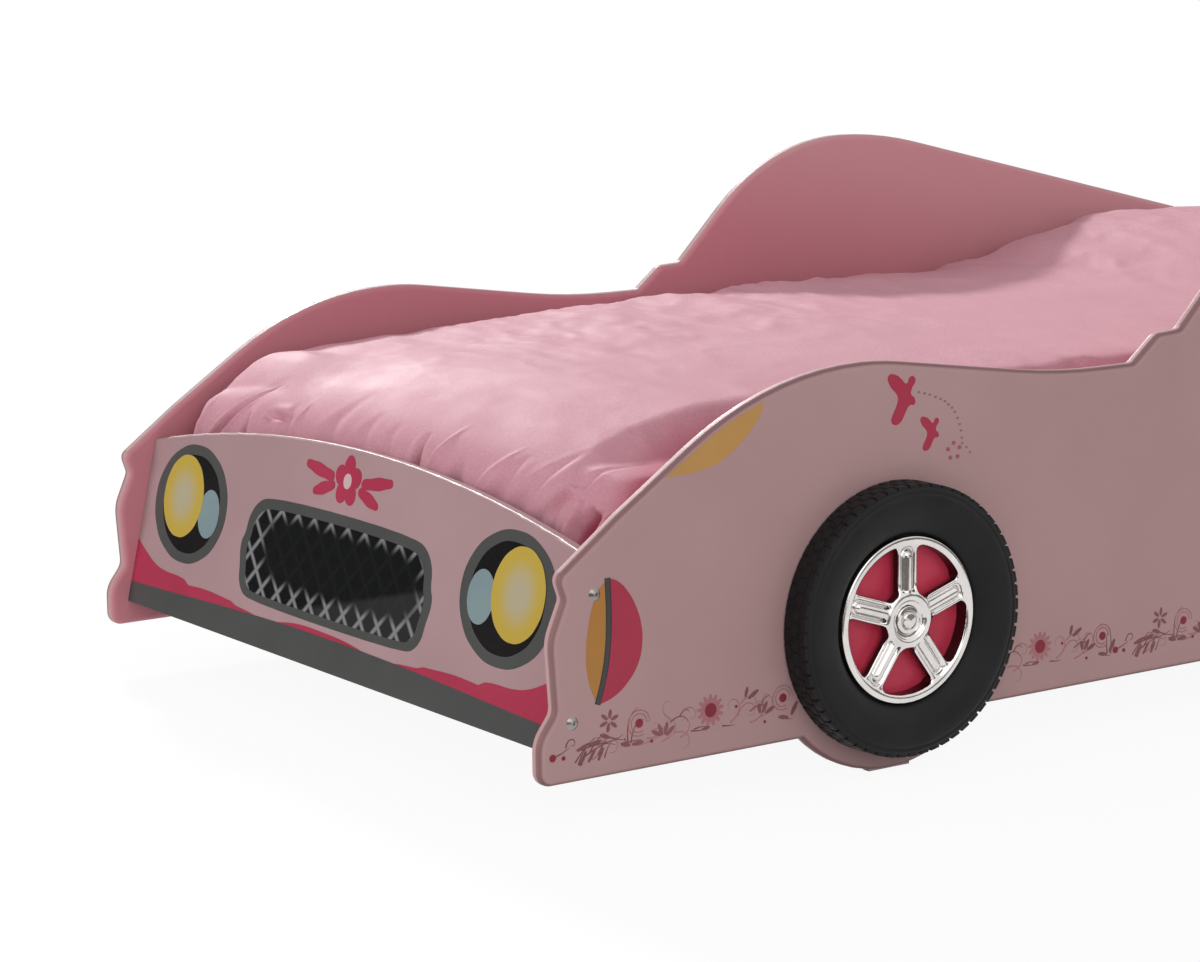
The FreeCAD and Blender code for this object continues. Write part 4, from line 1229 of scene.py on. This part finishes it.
duvetFolds = {
    # folds at the foot: x, half width, depth, reach up the slope, lean, all in mm, and a ridge has less than 0 depth
    "pinches": ((-446, 10, 15, 62, 0.0), (-424, 4, -5, 70, 0.1), (-388, 6, 9, 105, 0.95), (-352, 22, 4, 120, 0.5),
                (-309, 7, 13, 50, 0.0), (-276, 5, -3, 60, 0.1), (-192, 4, -6, 92, 0.05), (-214, 12, 5, 80, 0.0),
                (-120, 16, 4, 120, 0.3), (-40, 14, 4, 90, 0.2), (20, 12, 4, 80, 0.1), (92, 8, 24, 74, 0.0),
                (110, 5, -6, 100, 0.35), (170, 14, 12, 52, 0.1), (206, 6, -4, 90, 0.6), (244, 12, 6, 80, 0.4),
                (290, 10, 5, 110, 0.5), (336, 8, 5, 120, 0.6), (352, 7, 6, 74, 0.2), (383, 5, -5, 66, 0.0),
                (408, 13, 24, 60, -0.05), (418, 4, -9, 46, -0.12), (434, 5, -7, 54, -0.1), (456, 9, 8, 46, 0.0)),
    # short level slits: x, height, half length, depth
    "slits": ((-237, 331, 22, 8), (-262, 323, 9, 5)),
    # wrinkles: waves per metre across and along, height in mm, seed
    "wrinkles": ((3.0, 8.5, 2.6, 1.7), (8.0, 21.0, 1.7, 5.2), (18.0, 42.0, 0.7, 9.1)),
    "hollows": (2.1, 3.1, 6.0, 3.3),
    "slant": 0.22,
    "warp": (0.35, 3.0, 20),        # size, waves per metre, seed
    "sharpness": 2.6,
    # strength of the wrinkles: waves and seed of the patches, then base, gain, least and most
    "patches": (2.6, 4.0, 14.5),
    "patchStrength": (0.55, 1.1, -0.3, 0.6),
    # more along the far side: base, gain, station from and to, x, width
    "farStrength": (0.25, 0.6, 450, 750, -330, 220),
    # less at the foot: base, gain, station from and to
    "footStrength": (0.35, 0.65, 240, 480),
    "slope": (290, 0.6, 100),       # height and station the folds' reach is counted from, and the share between them
    "fade": 1.25,
    "narrowing": (0.45, 0.55),
    "lips": (2, 0.7, 14, 0.22),     # how far out beside a fold, width, deepest fold counted, height
    "slitLip": (3.2, 0.25, 7, 5),   # width of a slit, then height, distance and width of its lip
    # near side, where it falls away to the board: x from and to, station from and to, depth
    "trough": (340, 420, 300, 470, 44),
    # far corner, where it is full: x from and to, station from and to, height
    "fullness": (200, 380, 185, 262, 19),
    "footEnd": 245,
}


def stationOf(place):
    return (place.y + boardValues["halfLength"]) / mm


def underside(station, top):
    return duvetValues["base"] + (top - duvetValues["base"]) * ramp(station, *duvetValues["climb"])


def duvetForm(x, station):
    # how far the cover as a whole lies above or below its plain form, in mm
    start, end, near, far, depth = duvetFolds["trough"]
    shift = -depth * ramp(x, start, end) * (1 - ramp(station, near, far))
    start, end, near, far, height = duvetFolds["fullness"]
    return shift + height * ramp(-x, start, end) * (1 - ramp(station, near, far))


def duvetCreases(x, station, height):
    # how far the top skin stands up or sinks at a place, in mm
    across = x * mm
    along = station * mm
    slant = along + duvetFolds["slant"] * across
    wavesAcross, wavesAlong, size, seed = duvetFolds["hollows"]
    shift = size * noiseAt(across * wavesAcross, along * wavesAlong, seed)
    patchAcross, patchAlong, seed = duvetFolds["patches"]
    patch = noiseAt(across * patchAcross, along * patchAlong, seed)
    base, gain, least, most = duvetFolds["patchStrength"]
    strength = base + gain * clamped(patch, least, most)
    base, gain, near, far, middle, width = duvetFolds["farStrength"]
    strength += (base + gain * ramp(station, near, far)) * bell(x - middle, width)
    base, gain, near, far = duvetFolds["footStrength"]
    strength *= base + gain * ramp(station, near, far)
    warpSize, warpWaves, warpSeed = duvetFolds["warp"]
    for wavesAcross, wavesAlong, size, seed in duvetFolds["wrinkles"]:
        warp = warpSize * noiseAt(across * warpWaves, along * warpWaves, seed + warpSeed)
        ridge = noiseAt(across * wavesAcross, slant * wavesAlong + warp, seed)
        shift += strength * size * (1.0 - duvetFolds["sharpness"] * abs(ridge))
    startHeight, share, startStation = duvetFolds["slope"]
    climb = height - startHeight + share * (station - startStation)
    base, gain = duvetFolds["narrowing"]
    out, wide, deepest, size = duvetFolds["lips"]
    for middle, width, depth, reach, lean in duvetFolds["pinches"]:
        if climb < reach:
            aside = x - middle - lean * climb
            fade = min(1.0, (1 - climb / reach) * duvetFolds["fade"])
            narrow = width * (base + gain * fade)
            shift -= fade * depth * bell(aside, narrow)
            if depth > 0:
                lips = bell(aside - out * narrow, wide * width) + bell(aside + out * narrow, wide * width)
                shift += fade * min(depth, deepest) * size * lips
    slitWidth, size, out, wide = duvetFolds["slitLip"]
    for middle, level, half, depth in duvetFolds["slits"]:
        profile = bell(height - level, slitWidth) - size * bell(height - level - out, wide)
        shift -= depth * bell(x - middle, half) * profile
    return shift


shadeValues = {
    # painted shade, a deeper colour at the near front corner: x where it starts, how far that moves in, between two
    # stations
    "cornerStart": (405, 65, 95, 260),
    # share, width, stations between which it ends
    "corner": (0.8, 85, 330, 620),
    # painted shade along the near side: share, x from and to
    "side": (0.18, 330, 465),
    # painted shade in the deep gathers of the foot: share, depth from and to in mm, stations between which it ends
    "gathers": (0.85, 5, 15, 190, 260),
}


def cornerShade(x, station):
    # how deep the painted shade is towards the near front corner and along the near side, 0 to 1
    start, inward, near, far = shadeValues["cornerStart"]
    start -= inward * ramp(station, near, far)
    share, width, near, far = shadeValues["corner"]
    corner = share * ramp(x, start, start + width) * (1 - ramp(station, near, far))
    share, near, far = shadeValues["side"]
    return max(corner, share * ramp(x, near, far))


def gatherShade(station, shift):
    # how deep the painted shade is in the deep gathers of the foot
    share, low, high, near, far = shadeValues["gathers"]
    return share * ramp(-shift, low, high) * (1 - ramp(station, near, far))


def makeDuvet():
    duvet = copyNode("duvet", "duvetCover")
    values = duvetValues
    remeshed(duvet, values["voxel"], values["soften"])
    print("duvet points", len(duvet.data.vertices))
    top = values["mattressTop"]
    turned, deep = values["pinned"]
    pinned = [vertex.index for vertex in duvet.data.vertices
              if vertex.normal.z < turned or vertex.co.z < top - deep]
    simulateCloth(duvet, pinned, values)
    subdivided(duvet)
    # finer mesh at the foot, where the folds are small
    footEnd = duvetFolds["footEnd"] * mm - boardValues["halfLength"]
    pickAndEdit(duvet, "FACE", lambda face: (face.center.y < footEnd and face.normal.z > -0.3
                                             and face.center.z > values["footLow"]),
                lambda: bpy.ops.mesh.subdivide(number_cuts=1, smoothness=0))

    always, before, least = values["formRoom"]

    def formed(place, normal):
        if normal.z <= values["upward"]:
            return Vector((0, 0, 0))
        station = stationOf(place)
        low = underside(station, top + always)
        share = clamped((place.z - low) / (values["crown"] - low), 0.0, 1.0)
        form = duvetForm(place.x / mm, station) * mm
        room = share * max(0.0, place.z - low - before)
        rise = share * form if form > 0 else -room * (1 - math.exp(form / max(room, least)))
        return Vector((0, 0, rise))

    pushed(duvet, formed)
    duvet.data.update()
    deep, behind = values["tucked"]
    behindBoard = frontInside(values["boardTop"]) + behind
    shades = []

    def creased(place, normal):
        station = stationOf(place)
        shades.append(cornerShade(place.x / mm, station))
        if normal.z < values["upward"] or place.z < top - deep and place.y > behindBoard:
            return normal * 0.0
        shift = duvetCreases(place.x / mm, station, place.z / mm)
        shades[-1] = max(shades[-1], gatherShade(station, shift))
        shift = max(shift, min(0.0, (underside(station, top + values["foldRoom"]) - place.z) / mm))
        return normal * shift * mm

    pushed(duvet, creased)
    # foldShade carries the painted shade for the satin's fold colour
    duvet.data.attributes.new("foldShade", "FLOAT", "POINT").data.foreach_set("value", shades)
    for vertex in duvet.data.vertices:
        place = vertex.co
        place.x = clamped(place.x, -values["sideRoom"], values["sideRoom"])
        if place.z < values["boardFree"]:
            place.y = max(place.y, frontInside(min(place.z, values["boardTop"])) + values["boardRoom"])
    smoothShade(duvet, 80)
    finishPiece(duvet, "duvet", "duvet_satin", duvetSatin, "duvet")


def middleAndHalves(low, high):
    return [(a + b) / 2 for a, b in zip(low, high)], [(b - a) / 2 for a, b in zip(low, high)]


def rimLoop(piece, low, high, steps):
    # the furthest points round a piece between two heights, smoothed into a closed line
    places = [vertex.co for vertex in piece.data.vertices]
    ends = [[pick(place[i] for place in places) for i in (0, 1)] for pick in (min, max)]
    middle, halves = middleAndHalves(*ends)
    furthest = [None] * steps
    for place in places:
        if low < place.z < high:
            across = (place.x - middle[0]) / halves[0]
            along = (place.y - middle[1]) / halves[1]
            index = int(math.atan2(along, across) / (2 * math.pi) % 1.0 * steps) % steps
            reach = max(abs(across), abs(along))
            if furthest[index] is None or reach > furthest[index][0]:
                furthest[index] = (reach, place.copy())
    loop = [found[1] for found in furthest if found]
    for step in range(3):
        loop = [(loop[i - 1] + loop[i] * 2 + loop[(i + 1) % len(loop)]) / 4 for i in range(len(loop))]
    return loop


pillowValues = {
    "voxel": 0.0135,
    "soften": 6,
    "shrink": 0.008,
    "pressure": 2.4,
    "growth": -0.03,
    "bending": 1.0,
    "cap": 0.0085,
    "frames": 14,
    "seam": (0.354, 0.375),      # heights between which the seam runs
    "seamSteps": 150,
    "pipingWidth": 0.0052,
    "gathers": (34, 1.5, 42),    # gathers round the seam, their depth and reach in mm
}


def makePillow():
    pillow = copyNode("pillow", "pillowCase")
    values = pillowValues
    remeshed(pillow, values["voxel"], values["soften"])
    print("pillow points", len(pillow.data.vertices))
    # drawn in, so that it has room to swell
    pushed(pillow, lambda place, normal: normal * -values["shrink"])
    pinned = [vertex.index for vertex in pillow.data.vertices if vertex.normal.z < -0.9]
    simulateCloth(pillow, pinned, values)
    subdivided(pillow)
    subdivided(pillow)
    loop = rimLoop(pillow, *values["seam"], values["seamSteps"])
    count, depth, reach = values["gathers"]
    middle, halves = middleAndHalves(*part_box("pillow"))

    def gathered(place, normal):
        across = (place.x - middle[0]) / halves[0]
        along = (place.y - middle[1]) / halves[1]
        inward = min(halves[0] * (1 - abs(across)), halves[1] * (1 - abs(along))) / mm
        turn = math.atan2(along, across)
        wave = 0.5 + 0.5 * math.sin(turn * count + 3.0 * noiseAt(across * 2, along * 2, 4.0))
        patch = 0.5 + 0.5 * noiseAt(across * 3, along * 3, 8.0)
        return normal * -depth * mm * wave * patch * bell(max(0.0, inward), reach)

    pushed(pillow, gathered)
    pillow = joinPieces([pillow, closedLine("piping", loop, values["pipingWidth"])], "pillowCase")
    smoothShade(pillow, 80)
    finishPiece(pillow, "pillow", "pillow_cotton", pillowCotton, "pillow")


mattressValues = {
    "voxel": 0.0145,
    "soften": 3,
    "quiltPitch": 96.0,
    "channelWidth": 7.0,
    "channelDepth": 3.0,
    "unevenness": (0.8, 9),      # in mm, and waves per metre
    "room": (-0.001, -0.001, 0.0002),    # how far inside the plain block each way
    "pipingWidth": 0.0065,
    "pipingDrop": 0.0085,        # from the top or the base of the mattress to the piping
    "pipingBand": 0.004,
    "pipingSteps": 200,
}


def channelDepth(x, y):
    # diamond quilting, 0 between the channels and 1 in them
    pitch = mattressValues["quiltPitch"]
    found = 0.0
    for slant in (1, -1):
        across = (x + slant * y) / math.sqrt(2)
        away = abs((across / pitch + 0.5) % 1.0 - 0.5) * pitch
        found = max(found, bell(away, mattressValues["channelWidth"]))
    return found


def makeMattress():
    mattress = copyNode("mattress", "mattressCover")
    values = mattressValues
    low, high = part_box("mattress")
    remeshed(mattress, values["voxel"], values["soften"])
    print("mattress points", len(mattress.data.vertices))
    subdivided(mattress)
    drop = values["pipingDrop"]
    band = values["pipingBand"]
    loops = [rimLoop(mattress, level - band, level + band, values["pipingSteps"])
             for level in (high[2] - drop, low[2] + drop)]
    size, waves = values["unevenness"]

    def quilted(place, normal):
        if abs(normal.z) <= 0.7:
            return normal * 0.0
        depth = values["channelDepth"] * channelDepth(place.x / mm, place.y / mm)
        depth += size * noiseAt(place.x * waves, place.y * waves, 2.0)
        return normal * -max(0.0, depth) * mm

    pushed(mattress, quilted)
    for vertex in mattress.data.vertices:
        for i, room in enumerate(values["room"]):
            vertex.co[i] = clamped(vertex.co[i], low[i] + room, high[i] - room)
    parts = [mattress] + [closedLine("piping", loop, values["pipingWidth"]) for loop in loops]
    mattress = joinPieces(parts, "mattressCover")
    smoothShade(mattress, 60)
    finishPiece(mattress, "mattress", "ticking", ticking, "mattress")


makeDuvet()
makePillow()
makeMattress()
print("bedding made")
